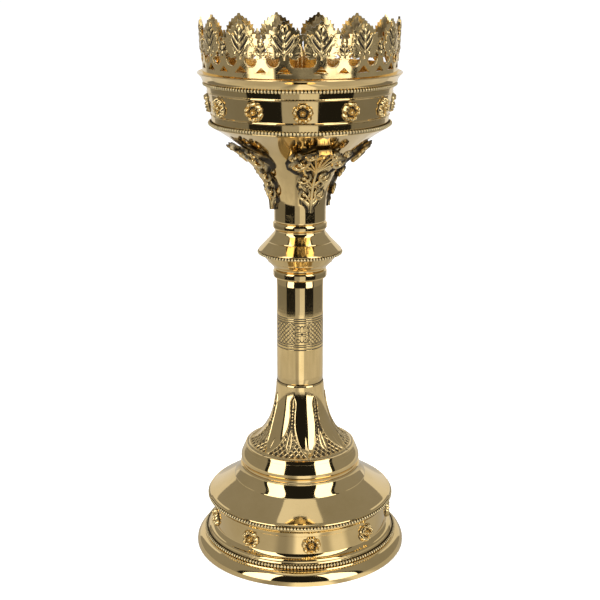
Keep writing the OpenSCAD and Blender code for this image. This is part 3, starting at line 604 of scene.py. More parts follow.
def buildStem():
    r, z0, z1 = radii["tube"], heights["tube"], heights["collar"]
    plainLow = np.linspace(z0 + 0.25, stem["bandLow"] - 6.5, 6)
    fine = np.linspace(stem["bandLow"] - 6, stem["bandHigh"] + 5, stem["bandRows"])
    plainHigh = np.linspace(stem["bandHigh"] + 5.5, z1 - 0.25, 6)
    levels = np.concatenate([[z0], plainLow, fine, plainHigh, [z1]])
    outer = np.stack([np.full(len(levels), r), levels], 1)
    outer[0, 0] = outer[-1, 0] = r - 0.25
    inner = np.array([(r - 1.6, z0), (r - 1.6, z1)])
    reliefShell("stemTube", outer, inner, stem["columns"], stemRelief, ["stem_tube"])


knop = {"bore": 12.95, "hole": 4.25, "segments": 192}


def buildCollar(name, node, z, top, r0, r1):
    c, bore = radii["collar"], knop["bore"]
    outline = chain([(bore, z), (r0, z), (c - 0.5, z + 0.6), (c, z + 1.5), (c, top - 1.5), (c - 0.5, top - 0.6),
                     (r1, top), (bore, top)])
    turned(name, outline, spunBrass, knop["segments"], 0.7, slot="spun_brass", nodes=[node])


def buildKnop():
    t, k, n = radii["tube"], radii["knop"], radii["neck"]
    zk, ze, zc, zn = heights["knop"], heights["edge"], heights["collar2"], heights["neck"]
    rim, hole, mid = k - 1.6, knop["hole"], (k + n) / 2
    buildCollar("lowerCollar", "lower_collar", heights["collar"], zk, t + 0.5, t + 1)
    buildCollar("upperCollar", "upper_collar", zc, zn, n - 0.2, n - 0.2)
    lower = chain(
        [(t + 1, zk), (t + 2.1, zk + 0.9), (t + 2.4, zk + 1.9), (t + 3.2, zk + 2.8), (t + 5.8, zk + 5.6),
         (t + 6.5, zk + 5.9), (t + 6.9, zk + 6.7), (rim - 1.2, ze - 2.9), (rim, ze - 1.8), (rim, ze)],
        [(rim - wallThick, ze), (rim - wallThick, ze - 2), (t + 4.2, zk + 7), (t - 0.8, zk + 2), (hole, zk + 2),
         (hole, zk)])
    turned("knopLower", lower, spunBrass, knop["segments"], 0.5, slot="spun_brass", nodes=["knop_lower"])
    upper = chain(
        [(k - 0.2, ze), (k, ze + 0.5), (k - 0.4, ze + 1.1), (mid - 0.5, ze + 7.2), (mid - 1, ze + 7.3),
         (mid - 1.2, ze + 7.8), (n + 0.3, zc - 3), (n - 0.2, zc - 2.2), (n - 0.4, zc - 1), (n - 0.2, zc)],
        [(hole, zc), (hole, zc - 2), (n - 2.2, zc - 2), (n - 1.4, zc - 4), (rim - wallThick, ze + 0.4),
         (rim - wallThick, ze)])
    turned("knopUpper", upper, spunBrass, knop["segments"], 0.4, slot="spun_brass", nodes=["knop_upper"])


buildStem()
buildKnop()
print("stem and knop built")


bowl = {"neckHigh": 7.4, "segments": 256}


def bowlCorners():
    n, g, z0 = radii["neck"], radii["galleryFoot"], heights["neck"] + bowl["neckHigh"]
    h = heights["gallery"] - z0
    return [(n, z0), (n + 0.5, z0 + 0.474 * h), (n + 0.372 * (g - n), z0 + 0.727 * h), (g + 1.3, z0 + h - 0.5)]


def buildBowl():
    n, g, zn, zg = radii["neck"], radii["galleryFoot"], heights["neck"], heights["gallery"]
    flare = curve(*bowlCorners(), 44)
    within = inset(curve(*bowlCorners(), 14), wallThick)
    within = within[within[:, 1] < zg - 0.5]
    inner = chain([(4.25, zn), (4.25, zn + 2), (n - wallThick, zn + 2)], within, [(g - 0.8 * wallThick, zg)])
    outline = chain([(n - 0.4, zn), (n, zn + 1.2)], flare, [(g + 1.3, zg)], inner[::-1])
    turned("bowl", outline, spunBrass, bowl["segments"], slot="spun_brass", nodes=["bowl"])


gallery = {"segments": 256, "wallLow": 8.2, "wallHigh": 7.6, "floorRing": 12.0}


def wallRadius(z):
    z0, z1 = heights["gallery"] + gallery["wallLow"], heights["lip"] - gallery["wallHigh"]
    r0, r1 = radii["galleryFoot"] + 0.2, radii["galleryTop"] - 0.8
    return r0 + (r1 - r0) * (z - z0) / (z1 - z0)


def buildGallery():
    g, top, zg, zl = radii["galleryFoot"], radii["galleryTop"], heights["gallery"], heights["lip"]
    z0, z1 = zg + gallery["wallLow"], zl - gallery["wallHigh"]
    r0, r1 = wallRadius(z0), wallRadius(z1)
    outline = chain(
        [(g, zg), (g, zg + 2.2), (g + 0.3, z0 - 1.6), (g + 0.8, z0 - 1.2), (g + 0.8, z0 - 0.4), (r0, z0), (r1, z1),
         (r1 + 0.5, z1 + 0.4), (r1 + 0.5, z1 + 1.1), (r1 + 0.2, z1 + 1.5), (top, zl - 2.6), (top, zl)],
        [(top - wallThick, zl), (r1 - wallThick, z1), (r0 - wallThick, z0), (g - wallThick, zg + 1.8),
         (g - gallery["floorRing"], zg + 1.8), (g - gallery["floorRing"], zg)])
    turned("galleryBand", outline, spunBrass, gallery["segments"], slot="spun_brass", nodes=["gallery_band"])
    lip, crownR, zc = radii["lip"], top + 2, heights["crown"]
    flare = curve((top + 2.9, zl + 1.7), (top + 3.3, zl + 3.4), (lip - 1.4, zl + 4.6), (lip, zl + 6.2), 16)
    outline = chain([(top + 1.6, zl), (top + 2.6, zl + 0.7)], flare, [(lip - 0.1, zl + 6.6), (lip - 0.7, zl + 6.6)],
                    inset(flare, 1.1)[::-1], [(crownR + 0.2, zc), (top - wallThick, zc), (top - wallThick, zl)])
    turned("galleryLip", outline, spunBrass, gallery["segments"], slot="spun_brass", nodes=["gallery_lip"])


buildBowl()
buildGallery()
print("bowl and gallery built")


rosette = {
    "radius": 7.3, "proud": 3.8, "petals": 5, "columns": 100, "rows": 22,
    "baseCount": 9, "baseTurn": 7.0, "galleryCount": 12, "galleryTurn": 1.6,
}


def rosetteShape(tip):
    # Height over the wall against the share s from the centre and the angle t: a round boss in a ring, then curled
    # petals whose height goes with the cosine of five half turns; the outline swells at each petal.
    s = np.linspace(0, 1, rosette["rows"])[:, None]
    t = np.arange(rosette["columns"])[None] * 2 * np.pi / rosette["columns"]
    petal = np.abs(np.cos(rosette["petals"] / 2 * (t - tip)))
    crease = np.abs(((t - tip) * rosette["petals"] / (2 * np.pi) + 0.5) % 1 - 0.5)
    lobe = 0.5 + 0.5 * np.cos(2 * rosette["petals"] * (t - tip) + np.pi)
    outline = rosette["radius"] * (0.84 + 0.12 * petal ** 0.5 + 0.04 * lobe)
    boss = np.sqrt(np.clip(1 - (s / 0.2) ** 2, 0, 1))
    ring = np.exp(-((s - 0.29) / 0.06) ** 2)
    curl = np.exp(-np.abs((s - 0.74) / 0.23) ** 3) * (0.2 + 0.8 * petal ** 0.6) * (0.8 + 0.2 * lobe)
    dent = np.exp(-(crease / 0.06) ** 2) * np.exp(-((s - 0.62) / 0.2) ** 2)
    pit = np.exp(-((s - 0.45) / 0.06) ** 2)
    high = np.clip(0.9 * boss + 0.62 * ring * (1 - boss) + 0.95 * curl - 0.45 * dent - 0.4 * pit, 0.02, 1)
    high = high * rosette["proud"]
    # Dark mix: patina deepened by painted shade, darker the lower the surface lies and in the pits and the creases
    # between petals.
    dark = np.clip(0.5 - high / rosette["proud"] * 1.1 + 0.6 * pit + 0.6 * dent, 0, 1)
    u, v = outline * s * np.sin(t), outline * s * np.cos(t)
    flat = np.stack([u, v, high], -1)
    edge = np.stack([outline * np.sin(t), outline * np.cos(t), 0 * t - 0.5], -1)
    middle = edge * [0.0, 0.0, 1.0]
    grid = np.concatenate([flat, edge, middle], 0)
    # The rim wall and the back take the full dark mix: a painted shadow ring round the rosette.
    mask = np.concatenate([dark, np.ones((2, rosette["columns"]))], 0)
    return grid.reshape(-1, 3), gridQuads(len(grid), rosette["columns"], wrapCols=True), mask.ravel()


def buildRosette(name, node, tip, angle, r, z, lean):
    # Local (across, up, outward) laid on a wall that leans outward by an angle.
    points, faces, recess = rosetteShape(tip)
    a = math.radians(angle)
    across = onAxis(a + math.pi / 2, 1.0, 0.0)
    outward = onAxis(a, math.cos(lean), -math.sin(lean))
    up = onAxis(a, math.sin(lean), math.cos(lean))
    makePiece(name, onAxis(a, r, z) + points @ np.stack([across, up, outward]), faces, castBrass,
              slot="cast_brass", nodes=[node], recess=recess, sharp=80)


def buildRosettes():
    zb = (base["band"] + base["cornice"]) / 2
    zg = (heights["gallery"] + heights["lip"]) / 2
    lean = math.atan2(wallRadius(zg + 1) - wallRadius(zg), 1)
    for k in range(rosette["baseCount"]):
        angle = rosette["baseTurn"] + 360 / rosette["baseCount"] * k
        buildRosette(f"baseRosette{k + 1}", f"base_rosette_{k + 1}", 0.35 * k, angle, radii["bandFoot"], zb, 0.0)
    for k in range(rosette["galleryCount"]):
        angle = rosette["galleryTurn"] + 360 / rosette["galleryCount"] * k
        buildRosette(f"galleryRosette{k + 1}", f"gallery_rosette_{k + 1}", 0.2 * k, angle, wallRadius(zg), zg, lean)


buildRosettes()
print("rosettes built")


# The leaf's half width is given from its foot to its tip; t runs up the bowl's curve.
bracket = {
    "count": 4, "turn": 20.0, "rows": 90, "columns": 61, "tMax": 0.8, "lift": 2.2,
    "edge": [(0.0, 2.8), (0.08, 3.0), (0.13, 4.2), (0.17, 7.4), (0.24, 7.8), (0.29, 5.6), (0.335, 4.4), (0.38, 9.4),
             (0.44, 11.0), (0.5, 10.2), (0.555, 7.4), (0.61, 7.6), (0.66, 15.5), (0.72, 20.5), (0.8, 22.6),
             (0.86, 22.0), (0.9, 17.5), (0.94, 12.5), (0.98, 7.6), (1.0, 5.0)],
    # t, how far to the side, how high and how big each curl is
    "curls": [(0.645, 14.6, 5.2, 4.3), (0.74, 20.0, 4.6, 2.8), (0.41, 7.9, 3.8, 3.3), (0.21, 5.7, 3.6, 2.9),
              (0.765, 9.0, 5.6, 2.6), (0.3, 4.4, 3.2, 1.8), (0.55, 6.5, 3.6, 1.7)],
    "veins": [(19.0, 0.60), (14.0, 0.66), (8.0, 0.70)], "veinFrom": 0.47,   # to the side at the end, and t there
    "lowVeins": [(0.3, 0.44, 9.4), (0.12, 0.24, 6.9)],  # t from and to, and to the side at the end
    "tab": [0.765, 0.775, 0.79, 0.80], "tabHalf": 5.2, "tabHigh": 4.9, "tabLow": 2.0,
}


def bowlPoint(t):
    c = [np.asarray(p, float) for p in bowlCorners()]
    t = np.asarray(t, float)[..., None]
    return (1 - t) ** 3 * c[0] + 3 * (1 - t) ** 2 * t * c[1] + 3 * (1 - t) * t * t * c[2] + t ** 3 * c[3]


def onBowl(t, side, high):
    # A point beside the bowl: at the curve's parameter t, side millimetres round the axis from the bracket's
    # middle, high above the metal.
    p = bowlPoint(t)
    g = bowlPoint(np.asarray(t) + 0.01) - bowlPoint(np.asarray(t) - 0.01)
    normal = np.stack([g[..., 1], -g[..., 0]], -1) / np.linalg.norm(g, axis=-1)[..., None]
    p = p + normal * np.asarray(high)[..., None]
    return onAxis(side / np.maximum(p[..., 0], 1), p[..., 0], p[..., 1])


def bracketRise(t):
    return (bowlPoint(t)[..., 1] - bowlPoint(0)[1]) / (heights["gallery"] - bowlPoint(0)[1] - 13)


def bracketSheet():
    # The leaf follows the bowl and lifts off it towards its tip. Ribs fan out from the stem, and the lobes'
    # rims stand up.
    t = np.linspace(0.03, bracket["tMax"], bracket["rows"])
    share = np.linspace(-1, 1, bracket["columns"])[None]
    rise = np.clip(bracketRise(t), 0, 1.02)
    half = readOff(bracket["edge"], rise)[:, None]
    v = rise[:, None]
    side = share * half
    lift = bracket["lift"] * np.clip((t[:, None] - 0.5) / (bracket["tMax"] - 0.5), 0, 1) ** 2
    # Ribs run from (0, 0.5) outwards in the upper fan, and from the stem into the two lower pairs of lobes.
    fan = np.arctan2(side, np.maximum((v - 0.47) * 55, 0.4))
    upper = smoothStep(v, 0.52, 0.66)
    ribs = np.abs(np.cos(fan * 5.2)) ** 0.8
    low1, low2 = np.exp(-((v - 0.2) / 0.08) ** 2), np.exp(-((v - 0.45) / 0.09) ** 2)
    slant1 = np.abs(np.cos((np.abs(side) * 0.55 - (v - 0.12) * 22)))
    relief = upper * ribs + (1 - upper) * (0.25 + 0.75 * slant1 * np.clip(low1 + low2, 0, 1))
    midrib = np.exp(-(side / 1.5) ** 2)
    rimLift = smoothStep(np.abs(share), 0.72, 0.97)
    high = 0.8 + 2.0 * relief + midrib * (1 - 0.6 * smoothStep(v, 0.8, 1.0)) + 1.3 * rimLift * (0.4 + 0.6 * upper)
    tuck = 1 - smoothStep(np.abs(share), 0.93, 1.0) * 0.55
    front = onBowl(t[:, None] + 0 * share, side, lift + high * tuck + 0.25)
    back = onBowl(t[:, None] + 0 * share, side, np.maximum(lift - 0.5, -0.3) + 0 * side)
    # Dark mix: patina deepened by painted shade where the relief is low, lighter on the midrib and raised rims, and a
    # painted shadow line along the leaf's outer border.
    dark = np.clip(1.3 - 1.15 * relief - midrib - 0.35 * rimLift + 0.9 * (np.abs(share) > 0.95), 0, 1)
    return sheetSolid(front, back, dark)


def curlAt(t, side, high, size, spin):
    # A curled leaf tip: a ball with a rolled rim about it.
    centre = onBowl(np.array(t), np.array(float(side)), np.array(float(high)))
    around = np.linspace(0, 2 * np.pi * 0.9, 28) + spin
    grow = np.linspace(1.0, 1.5, 28) * size
    tt = t + grow * np.sin(around) / 62.0 * 0.9
    path = onBowl(tt, side + grow * np.cos(around), high - 0.3 + 0 * around)
    p, f, m = ball(centre, size * 0.5, 12, 8)
    q, g, k = tubeAlong(path, size * np.linspace(0.5, 0.24, 28), 8, flat=centre * [1, 1, 0.2])
    shade = 0.75 * smoothStep(np.abs(np.linspace(-1, 1, len(k))), 0.0, 1.0)
    return [(p, f, m), (q, g, k + shade)]


def turnAbout(points, angle):
    a = math.radians(angle)
    return points @ np.array([[math.cos(a), math.sin(a), 0], [-math.sin(a), math.cos(a), 0], [0, 0, 1.0]])


def buildBrackets():
    parts = [bracketSheet()]
    leafVein = (0.3, 1, 0.2)
    for s in (-1, 1):
        for t, side, high, size in bracket["curls"]:
            parts += curlAt(t, s * side, high, size, 1.2 if s > 0 else 2.0)
        u = np.linspace(0, 1, 24)
        for end, bend in bracket["veins"]:
            t = bracket["veinFrom"] + (bend + 0.07 - bracket["veinFrom"]) * u + 0.03 * u * u
            path = onBowl(t, s * end * u ** 1.25 * 0.92, 3.3 + 1.8 * u)
            parts.append(tubeAlong(path, 0.95 - 0.35 * u, 7, flat=leafVein))
        u = np.linspace(0, 1, 16)
        for t0, t1, end in bracket["lowVeins"]:
            path = onBowl(t0 + (t1 - t0) * u, s * end * u ** 1.1, 3.0 + 0.9 * np.sin(np.pi * u))
            parts.append(tubeAlong(path, 0.95 - 0.3 * u, 7, flat=leafVein))
    u = np.linspace(0, 1, 40)
    parts.append(tubeAlong(onBowl(0.03 + 0.71 * u, 0 * u, 3.0 + 1.8 * u ** 2), 1.35 - 0.5 * u, 9, flat=(1, 0, 0)))
    t, share = np.meshgrid(bracket["tab"], np.linspace(-1, 1, 11), indexing="ij")
    levels = (bracket["tabHigh"], bracket["tabLow"])
    front, back = (onBowl(t, bracket["tabHalf"] * share, high + 0 * t) for high in levels)
    parts.append(sheetSolid(front, back, 0.85 + 0 * t))
    points, faces, recess = joinGrids(parts)
    for k in range(bracket["count"]):
        turn = bracket["turn"] + 360 / bracket["count"] * k
        makePiece(f"acanthusBracket{k + 1}", turnAbout(points, turn), faces, castBrass,
                  slot="cast_brass", nodes=[f"acanthus_bracket_{k + 1}"], recess=recess, sharp=70)


buildBrackets()
print("brackets built")


crown = {
    "leaves": 14, "turn": 1.6, "seam": 20.2, "seamLimit": 11.6, "foot": 68.6, "lean": 1.4, "high": 42.0,
    "stripHigh": 8.0, "thick": 1.4, "holeRadius": 4.65, "holeHigh": 8.6, "rimSize": 0.3,
    "scrollAt": (4.2, 12.6, -1.0), "scrollSize": 2.3, "stalkFrom": 9.0, "stalkTo": 12.7, "stalkSize": 0.7,
}
# Each lobe: its angle from the leaf's middle, its length, its half width in degrees and how fast it falls off.
crownLeaf = {
    "lobes": [(0, 22.3, 17.5, 0.3), (33, 18.0, 16.5, 0.22), (63, 15.2, 15.5, 0.2), (92, 10.8, 14.0, 0.24)],
    "root": 11.5, "reach": 106, "rows": 22, "columns": 129, "tall": 1.5, "curl": 0.1, "teeth": 9.6, "bite": 0.13,
    "veinStep": 4.7,
}
crownSprig = {
    "lobes": [(0, 11.6, 26, 0.45), (52, 7.2, 22, 0.5), (98, 4.4, 24, 0.4)],
    "root": 10.4, "reach": 128, "rows": 16, "columns": 73, "tall": 1.4, "curl": 0.1, "teeth": 17, "bite": 0.12,
    "veinStep": 3.2,
}


def onCrown(angle, across, up, out):
    # A point on the leaning ring: angle in degrees, millimetres across and up from the strip's top,
    # and out from the outer face.
    r = crown["foot"] + crown["lean"] * (crown["stripHigh"] + up) / crown["high"] + out
    a = math.radians(angle) + across / (crown["foot"] + crown["lean"] / 2)
    return onAxis(a, r, heights["crown"] + crown["stripHigh"] + up + 0 * r)


def lobedOutline(t, kind):
    # The largest of the lobes, each falling slowly from its tip with the angle off it; fine teeth ride on the edge.
    deg = np.degrees(np.abs(t))
    lobes = [size * (1 - fall * np.clip(np.abs(deg - at) / half, 0, 2) ** 1.2)
             for at, size, half, fall in kind["lobes"]]
    return np.max(lobes, axis=0) * (1 - kind["bite"] * np.abs(((deg / kind["teeth"]) % 1) * 2 - 1))


def leafSolid(angle, kind, narrow=(99.0, 99.0)):
    # A broad leaf about its root, with veins and a shallow fold between its lobes. It may reach only as far
    # to the left and right as narrow says.
    end = math.radians(kind["reach"])
    t = np.linspace(-end, end, kind["columns"])[None]
    s = np.linspace(0, 1, kind["rows"])[:, None]
    limit = np.where(t < 0, *narrow) / np.maximum(np.abs(np.sin(t)), 0.05)
    reach = np.minimum(lobedOutline(t, kind), limit) * s
    u, v = reach * np.sin(t), reach * np.cos(t)
    at = np.array([lobe[0] for lobe in kind["lobes"]])
    nearest = np.min(np.abs(np.degrees(np.abs(t))[..., None] - at), axis=-1)
    # Veins leave the middle one upwards and outwards, one every few millimetres, with dark drops between them.
    tip = kind["lobes"][0][1]
    slant = v - (0.75 + 0.03 * v) * np.abs(u) - 0.02 * u * u - 1.2
    gap = np.abs((slant / kind["veinStep"]) % 1 - 0.5) * 2
    middle = np.exp(-(u / 0.55) ** 2) * smoothStep(v, -1.0, 1.0) * smoothStep(s, 0.97, 0.85)
    within = smoothStep(np.hypot(u * 1.2, (v - 0.43 * tip) * 0.8), 0.4 * tip, 0.26 * tip) * smoothStep(v, 0.6, 1.8)
    branch = smoothStep(gap, 0.28, 0.62)
    drop = within * (1 - np.maximum(branch, middle)) * smoothStep(np.abs(u), 0.5, 1.1)
    edge = np.exp(-((s - 0.93) / 0.05) ** 2)
    fold = np.exp(-((nearest - 15.5) / 2.6) ** 2) * smoothStep(s, 0.62, 0.85) * 0.6
    body = kind["tall"] * (0.5 + 0.14 * within * branch + 0.28 * middle + 0.05 * edge - 0.25 * drop - 0.12 * fold)
    curl = kind["curl"] * (reach / 20) ** 2
    front = onCrown(angle, u, kind["root"] + v, body * smoothStep(s, 1.02, 0.95) + curl)
    back = onCrown(angle, u, kind["root"] + v, -crown["thick"] - 0.35 + 0.35 * smoothStep(s, 0.85, 1.0) + curl)
    dark = np.clip(0.16 + drop + 0.6 * fold - 0.4 * edge, 0, 1)
    return sheetSolid(front, back, dark)


def rimTube(angle, across, up, size):
    path = onCrown(angle, across, up, 0.05 + 0 * across)
    return tubeAlong(path, size, 7, flat=onAxis(math.radians(angle), 1.0, 0.0))


def buildCrown():
    # Leaves and sprigs over the pierced strip, with a thin rim round the bottom of each open hole, a scroll
    # either side of a leaf's foot and a short stalk below it.
    pitch = (360 - crown["seam"]) / (crown["leaves"] - 1)
    middle = crown["foot"] + crown["lean"] / 2
    halfPitch = middle * math.sin(math.radians(pitch / 2))
    halfSeam = middle * math.sin(math.radians(crown["seam"] / 2)) - 0.4
    leaves, sprigs, rims = [], [], []
    t = np.linspace(np.pi, 0, 22)
    u = np.linspace(0, 1, 14)
    hole, limit = crown["holeRadius"], crown["seamLimit"]
    for k in range(crown["leaves"]):
        at = crown["turn"] + crown["seam"] / 2 + pitch * k
        bySeam = (k == 0, k == crown["leaves"] - 1)
        leaves.append(leafSolid(at, crownLeaf, [limit if near else 99.0 for near in bySeam]))
        for s, near in zip((-1, 1), bySeam):
            across, low = halfPitch / 2 + hole * np.cos(t), crown["holeHigh"] - hole * np.sin(t)
            if near:
                # At the seam the opening keeps a flat bottom after its first quarter turn.
                across, low = np.append(across[:11], halfSeam), np.append(low[:11], low[10])
            rims.append(rimTube(at, s * across, low, crown["rimSize"]))
            side, up, out = crown["scrollAt"]
            rims.append(ball(onCrown(at, np.array(s * side), up, out), crown["scrollSize"], 18, 14))
        stalk = crown["stalkFrom"] + (crown["stalkTo"] - crown["stalkFrom"]) * u
        rims.append(rimTube(at, 0 * u, stalk, crown["stalkSize"] - 0.2 * u))
        if k:
            sprigs.append(leafSolid(at - pitch / 2, crownSprig))
    for name, parts in (("crownLeaves", leaves), ("crownSprigs", sprigs), ("crownRims", rims)):
        points, faces, recess = joinGrids(parts)
        makePiece(name, points, faces, castBrass, slot="cast_brass", recess=recess, sharp=75)


buildCrown()
print("crown built")


pan = {
    "high": 17.0, "thick": 1.4, "rim": 1.2, "boss": 9.0, "bossHigh": 2.2, "shank": 3.04, "shankLow": 8.6,
    "pin": 3.8, "pinHigh": 46.0, "point": 10.5, "segments": 192, "pinSegments": 64,
}


def buildPan():
    z, r, p = heights["gallery"] + 1.8, radii["pan"], pan
    top = z + p["high"] - p["rim"]
    a = np.radians(np.arange(-60, 181, 20))
    outline = chain(
        [(p["shank"], z), (r - 2, z), (r - 0.6, z + 0.6), (r, z + 2)],
        np.stack([r - p["thick"] / 2 + p["rim"] * np.cos(a), top + p["rim"] * np.sin(a)], 1),
        [(r - p["thick"], top - p["rim"]), (r - p["thick"], z + 2.6), (r - 2.6, z + p["thick"]),
         (p["boss"] + 1, z + p["thick"]), (p["boss"], z + p["bossHigh"]), (p["shank"], z + p["bossHigh"])])
    turned("waxPan", outline, panBrass, p["segments"], 0.5, body="pan", slot="pan_brass", nodes=["wax_pan"])
    z0 = z + p["bossHigh"]
    z1 = z0 + p["pinHigh"] - p["bossHigh"]
    low = z - p["shankLow"]
    outline = chain(
        [(0.01, low), (p["shank"] - 0.6, low), (p["shank"], low + 0.6), (p["shank"], z0), (p["boss"] - 1, z0),
         (p["boss"] - 1, z0 + 1.6)],
        curve((p["boss"] - 1.8, z0 + 2.4), (p["pin"] + 0.6, z0 + 2.8), (p["pin"], z0 + 5), (p["pin"], z0 + 8), 10),
        [(p["pin"], z1)],
        curve((p["pin"] - 0.4, z1 + 0.8), (p["pin"] - 0.8, z1 + p["point"] / 3),
              (1.4, z1 + 2 * p["point"] / 3), (0.4, z1 + p["point"]), 10),
        [(0.01, z1 + p["point"])])
    profile = softened(outline, 0.2)
    rows = carryRound(profile, p["pinSegments"]).reshape(len(profile), -1, 3)
    rows[profile[:, 0] < 0.05, :, :2] = 0
    makePiece("pricketPin", rows.reshape(-1, 3), gridQuads(len(profile), p["pinSegments"], True, True), panBrass,
              body="pan", slot="pan_brass", nodes=["pricket"])


buildPan()

finishes = [
    (("base_rosette_rivets", "bracket_rivets", "gallery_rosette_rivets"), rivetBrass, "rivet_brass"),
    (("crown",), castBrass, "cast_brass"),
    (("pricket_washer", "pricket_nut", "tie_rod", "rod_washers", "rod_nuts"), steelGrey, "steel"),
]
for names, material, slotName in finishes:
    for name in names:
        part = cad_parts[name]
        part.data.materials.clear()
        part.data.materials.append(material)
print("pan built and fasteners finished")


# Strengths of what the metal mirrors, and where it stands: degrees round from the front and degrees above level.
studio = {
    "grey": 0.36, "box": 3.3, "top": 1.0, "low": 0.5, "lowBright": 0.95, "lowSide": 0.26, "black": 0.018,
    "gap": 0.02, "backdrop": 0.95, "edge": 0.35, "centre": 23.0, "dark": 69.0, "boxFrom": 30.0, "boxTo": 62.0,
    "boxLow": -10.2, "boxHigh": 66.0, "topFrom": 76.0, "horizon": -10.4, "behind": 96.0, "backdropFrom": 143.0,
    "backdropHigh": 42.0, "brightFrom": -1.0,
}


def angleRound(tree, x, y):
    # Degrees round the axis from the front, from -180 to 180.
    back = mathOut(tree, "MULTIPLY", y, -1.0)
    return mathOut(tree, "MULTIPLY", mathOut(tree, "ARCTAN2", x, back), 180 / math.pi)


def freshTree(holder):
    holder.use_nodes = True
    holder.node_tree.nodes.clear()
    return holder.node_tree


def splitPlace(tree, kind):
    place = addNode(tree, "ShaderNodeTexCoord").outputs[kind]
    return place, *addNode(tree, "ShaderNodeSeparateXYZ", {0: place}).outputs


def buildWorld():
    # What the metal mirrors: grey walls, a pale backdrop behind, a bright overhead, two white soft boxes either
    # side of a dark gap, and below the horizon a dim middle between two dark sides. The camera itself sees white.
    world = bpy.data.worlds.new("studioWorld")
    bpy.context.scene.world = world
    tree = freshTree(world)
    _, x, y, z = splitPlace(tree, "Generated")
    signed = angleRound(tree, x, y)
    around = mathOut(tree, "ABSOLUTE", signed)
    turn = mathOut(tree, "MINIMUM", around, mathOut(tree, "SUBTRACT", 180.0, around))
    rise = mathOut(tree, "MULTIPLY", mathOut(tree, "ARCSINE", z), 180 / math.pi)

    def above(value, level):
        ends = {"From Min": studio[level] - studio["edge"], "From Max": studio[level] + studio["edge"]}
        step = addNode(tree, "ShaderNodeMapRange", {"Value": value, **ends}, interpolation_type="SMOOTHSTEP")
        return step.outputs[0]

    def blend(mask, a, b):
        # a where the mask is 0 and b where it is 1
        return mathOut(tree, "MULTIPLY_ADD", mask, mathOut(tree, "SUBTRACT", b, a), a)

    low = blend(above(signed, "brightFrom"), studio["low"], studio["lowBright"])
    low = blend(above(turn, "centre"), low, studio["black"])
    low = blend(above(turn, "dark"), low, studio["lowSide"])
    low = blend(above(around, "behind"), low, studio["lowSide"])
    boxes = blend(above(turn, "boxFrom"), studio["black"], studio["box"])
    boxes = blend(above(turn, "boxTo"), boxes, studio["gap"])
    middle = blend(above(rise, "boxLow"), studio["gap"], boxes)
    middle = blend(above(turn, "dark"), middle, studio["grey"])
    middle = blend(above(around, "behind"), middle, studio["grey"])
    strength = blend(above(rise, "horizon"), low, middle)
    strength = blend(above(rise, "boxHigh"), strength, studio["grey"])
    strength = blend(above(rise, "topFrom"), strength, studio["top"])
    lower = mathOut(tree, "SUBTRACT", 1.0, above(rise, "backdropHigh"))
    strength = blend(mathOut(tree, "MULTIPLY", above(around, "backdropFrom"), lower), strength, studio["backdrop"])
    seen = addNode(tree, "ShaderNodeBackground", {"Strength": strength})
    plain = addNode(tree, "ShaderNodeBackground", {"Color": (1, 1, 1, 1), "Strength": 1.0})
    kind = addNode(tree, "ShaderNodeLightPath").outputs["Is Camera Ray"]
    mixed = addNode(tree, "ShaderNodeMixShader", {0: kind, 1: seen.outputs[0], 2: plain.outputs[0]})
    addNode(tree, "ShaderNodeOutputWorld", {"Surface": mixed.outputs[0]})


# Each stripe: its angle, its half width and its soft edge in degrees, and how much brighter it is.
table = {
    "radius": 0.64, "light": 0.6, "near": 0.46, "nearFrom": 0.1, "lightFrom": 0.5, "colour": (1.0, 0.985, 0.95, 1),
    "dim": (-16.0, 6.0, 4.0, -0.16), "bright": (7.0, 12.0, 3.0, 0.6), "short": (37.0, 8.0, 4.0, 0.36),
    "shortFrom": 0.3, "shortTo": 0.18, "cloudScale": 7.0,
}


def buildTable():
    # A round pale table top that only the metal mirrors: brighter away from the foot, with one dim stripe
    # and two bright ones towards the front.
    a = np.linspace(0, 2 * np.pi, 97)[:-1]
    mesh = bpy.data.meshes.new("mirroredTable")
    mesh.from_pydata(onAxis(a, table["radius"], -0.0005).tolist(), [], [tuple(range(len(a)))])
    top = putInScene("mirroredTable", mesh)
    paint = bpy.data.materials.new("tablePaint")
    tree = freshTree(paint)
    place, x, y, _ = splitPlace(tree, "Object")
    far = addNode(tree, "ShaderNodeVectorMath", {0: place}, operation="LENGTH").outputs["Value"]
    turn = angleRound(tree, x, y)

    def spread(value, low, high, toLow=0.0, toHigh=1.0, **settings):
        ends = {"From Min": low, "From Max": high, "To Min": toLow, "To Max": toHigh}
        return addNode(tree, "ShaderNodeMapRange", {"Value": value, **ends}, **settings).outputs[0]

    def addStripe(light, stripe, mask=None):
        middle, half, soft, gain = stripe
        off = mathOut(tree, "ABSOLUTE", mathOut(tree, "SUBTRACT", turn, middle))
        shape = spread(off, half + soft, half - soft, interpolation_type="SMOOTHSTEP")
        return mathOut(tree, "MULTIPLY_ADD", mathOut(tree, "MULTIPLY", shape, mask) if mask else shape, gain, light)

    light = spread(far, table["nearFrom"], table["lightFrom"], table["near"], table["light"])
    light = addStripe(addStripe(light, table["dim"]), table["bright"])
    light = addStripe(light, table["short"], spread(far, table["shortFrom"], table["shortTo"]))
    cloud = addNode(tree, "ShaderNodeTexNoise", {"Vector": place, "Scale": table["cloudScale"], "Detail": 3.0})
    light = mathOut(tree, "MULTIPLY", light, mathOut(tree, "MULTIPLY_ADD", cloud.outputs["Fac"], 0.5, 0.75))
    glow = addNode(tree, "ShaderNodeEmission", {"Color": table["colour"], "Strength": light})
    addNode(tree, "ShaderNodeOutputMaterial", {"Surface": glow.outputs[0]})
    mesh.materials.append(paint)
    top.visible_camera = top.visible_diffuse = top.visible_shadow = False


floorPlan = {"half": 30, "colour": (0.93, 0.93, 0.93, 1), "glow": 0.45, "roughness": 0.9}


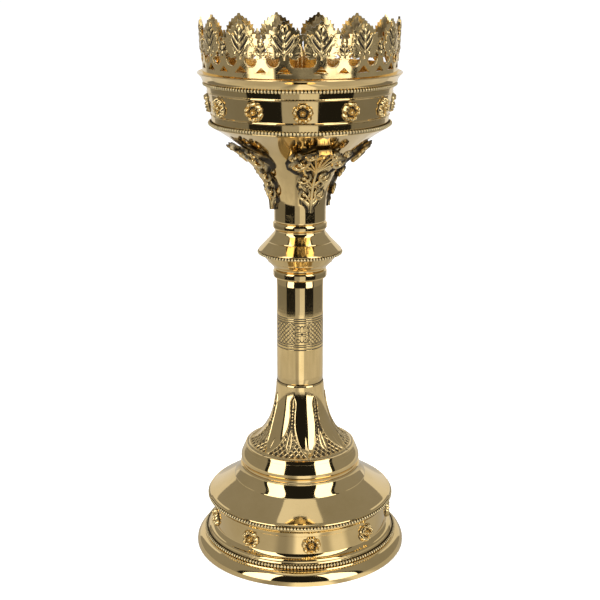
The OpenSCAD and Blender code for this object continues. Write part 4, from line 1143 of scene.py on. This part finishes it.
def buildFloor():
    half = floorPlan["half"]
    mesh = bpy.data.meshes.new("floor")
    mesh.from_pydata([(-half, -half, 0), (half, -half, 0), (half, half, 0), (-half, half, 0)], [], [(0, 1, 2, 3)])
    floor = putInScene("floor", mesh)
    paint = bpy.data.materials.new("floorPaint")
    paint.use_nodes = True
    shader = paint.node_tree.nodes["Principled BSDF"]
    shader.inputs["Base Color"].default_value = floorPlan["colour"]
    shader.inputs["Roughness"].default_value = floorPlan["roughness"]
    shader.inputs["Specular IOR Level"].default_value = 0.0
    shader.inputs["Emission Color"].default_value = (1, 1, 1, 1)
    shader.inputs["Emission Strength"].default_value = floorPlan["glow"]
    mesh.materials.append(paint)
    floor.visible_glossy = False


# Each lamp: its name, its place, the point it lights, its width in metres and its power in watts.
lamps = [
    ("overhead", (0, -0.3, 1.8), (0, 0, 0), 1.6, 26),
    ("leftFill", (-1.4, -1.2, 1.2), (0, 0, 0.2), 1.0, 9),
    ("rightFill", (1.4, -1.2, 1.2), (0, 0, 0.2), 1.0, 9),
]


def addLamp(name, place, aim, size, power):
    light = bpy.data.lights.new(name, "AREA")
    light.shape = "DISK"
    light.size = size
    light.energy = power
    lamp = putInScene(name, light)
    lamp.location = place
    x, y, z = np.array(aim) - np.array(place)
    lamp.rotation_euler = (math.atan2(math.hypot(x, y), -z), 0, math.atan2(y, x) - math.pi / 2)
    lamp.visible_glossy = False


view = {"lens": 72.17, "sensor": 36, "place": (0, -0.862, 0.4398), "down": 15.92, "clip": (0.01, 100)}


def buildCamera():
    lens = bpy.data.cameras.new("camera")
    lens.sensor_width = view["sensor"]
    lens.lens = view["lens"]
    lens.clip_start, lens.clip_end = view["clip"]
    camera = putInScene("camera", lens)
    camera.location = view["place"]
    camera.rotation_euler = (math.radians(90 - view["down"]), 0, 0)
    bpy.context.scene.camera = camera


buildWorld()
buildTable()
buildFloor()
for lamp in lamps:
    addLamp(*lamp)
buildCamera()
bpy.context.scene.view_settings.view_transform = "Standard"
print("studio built")
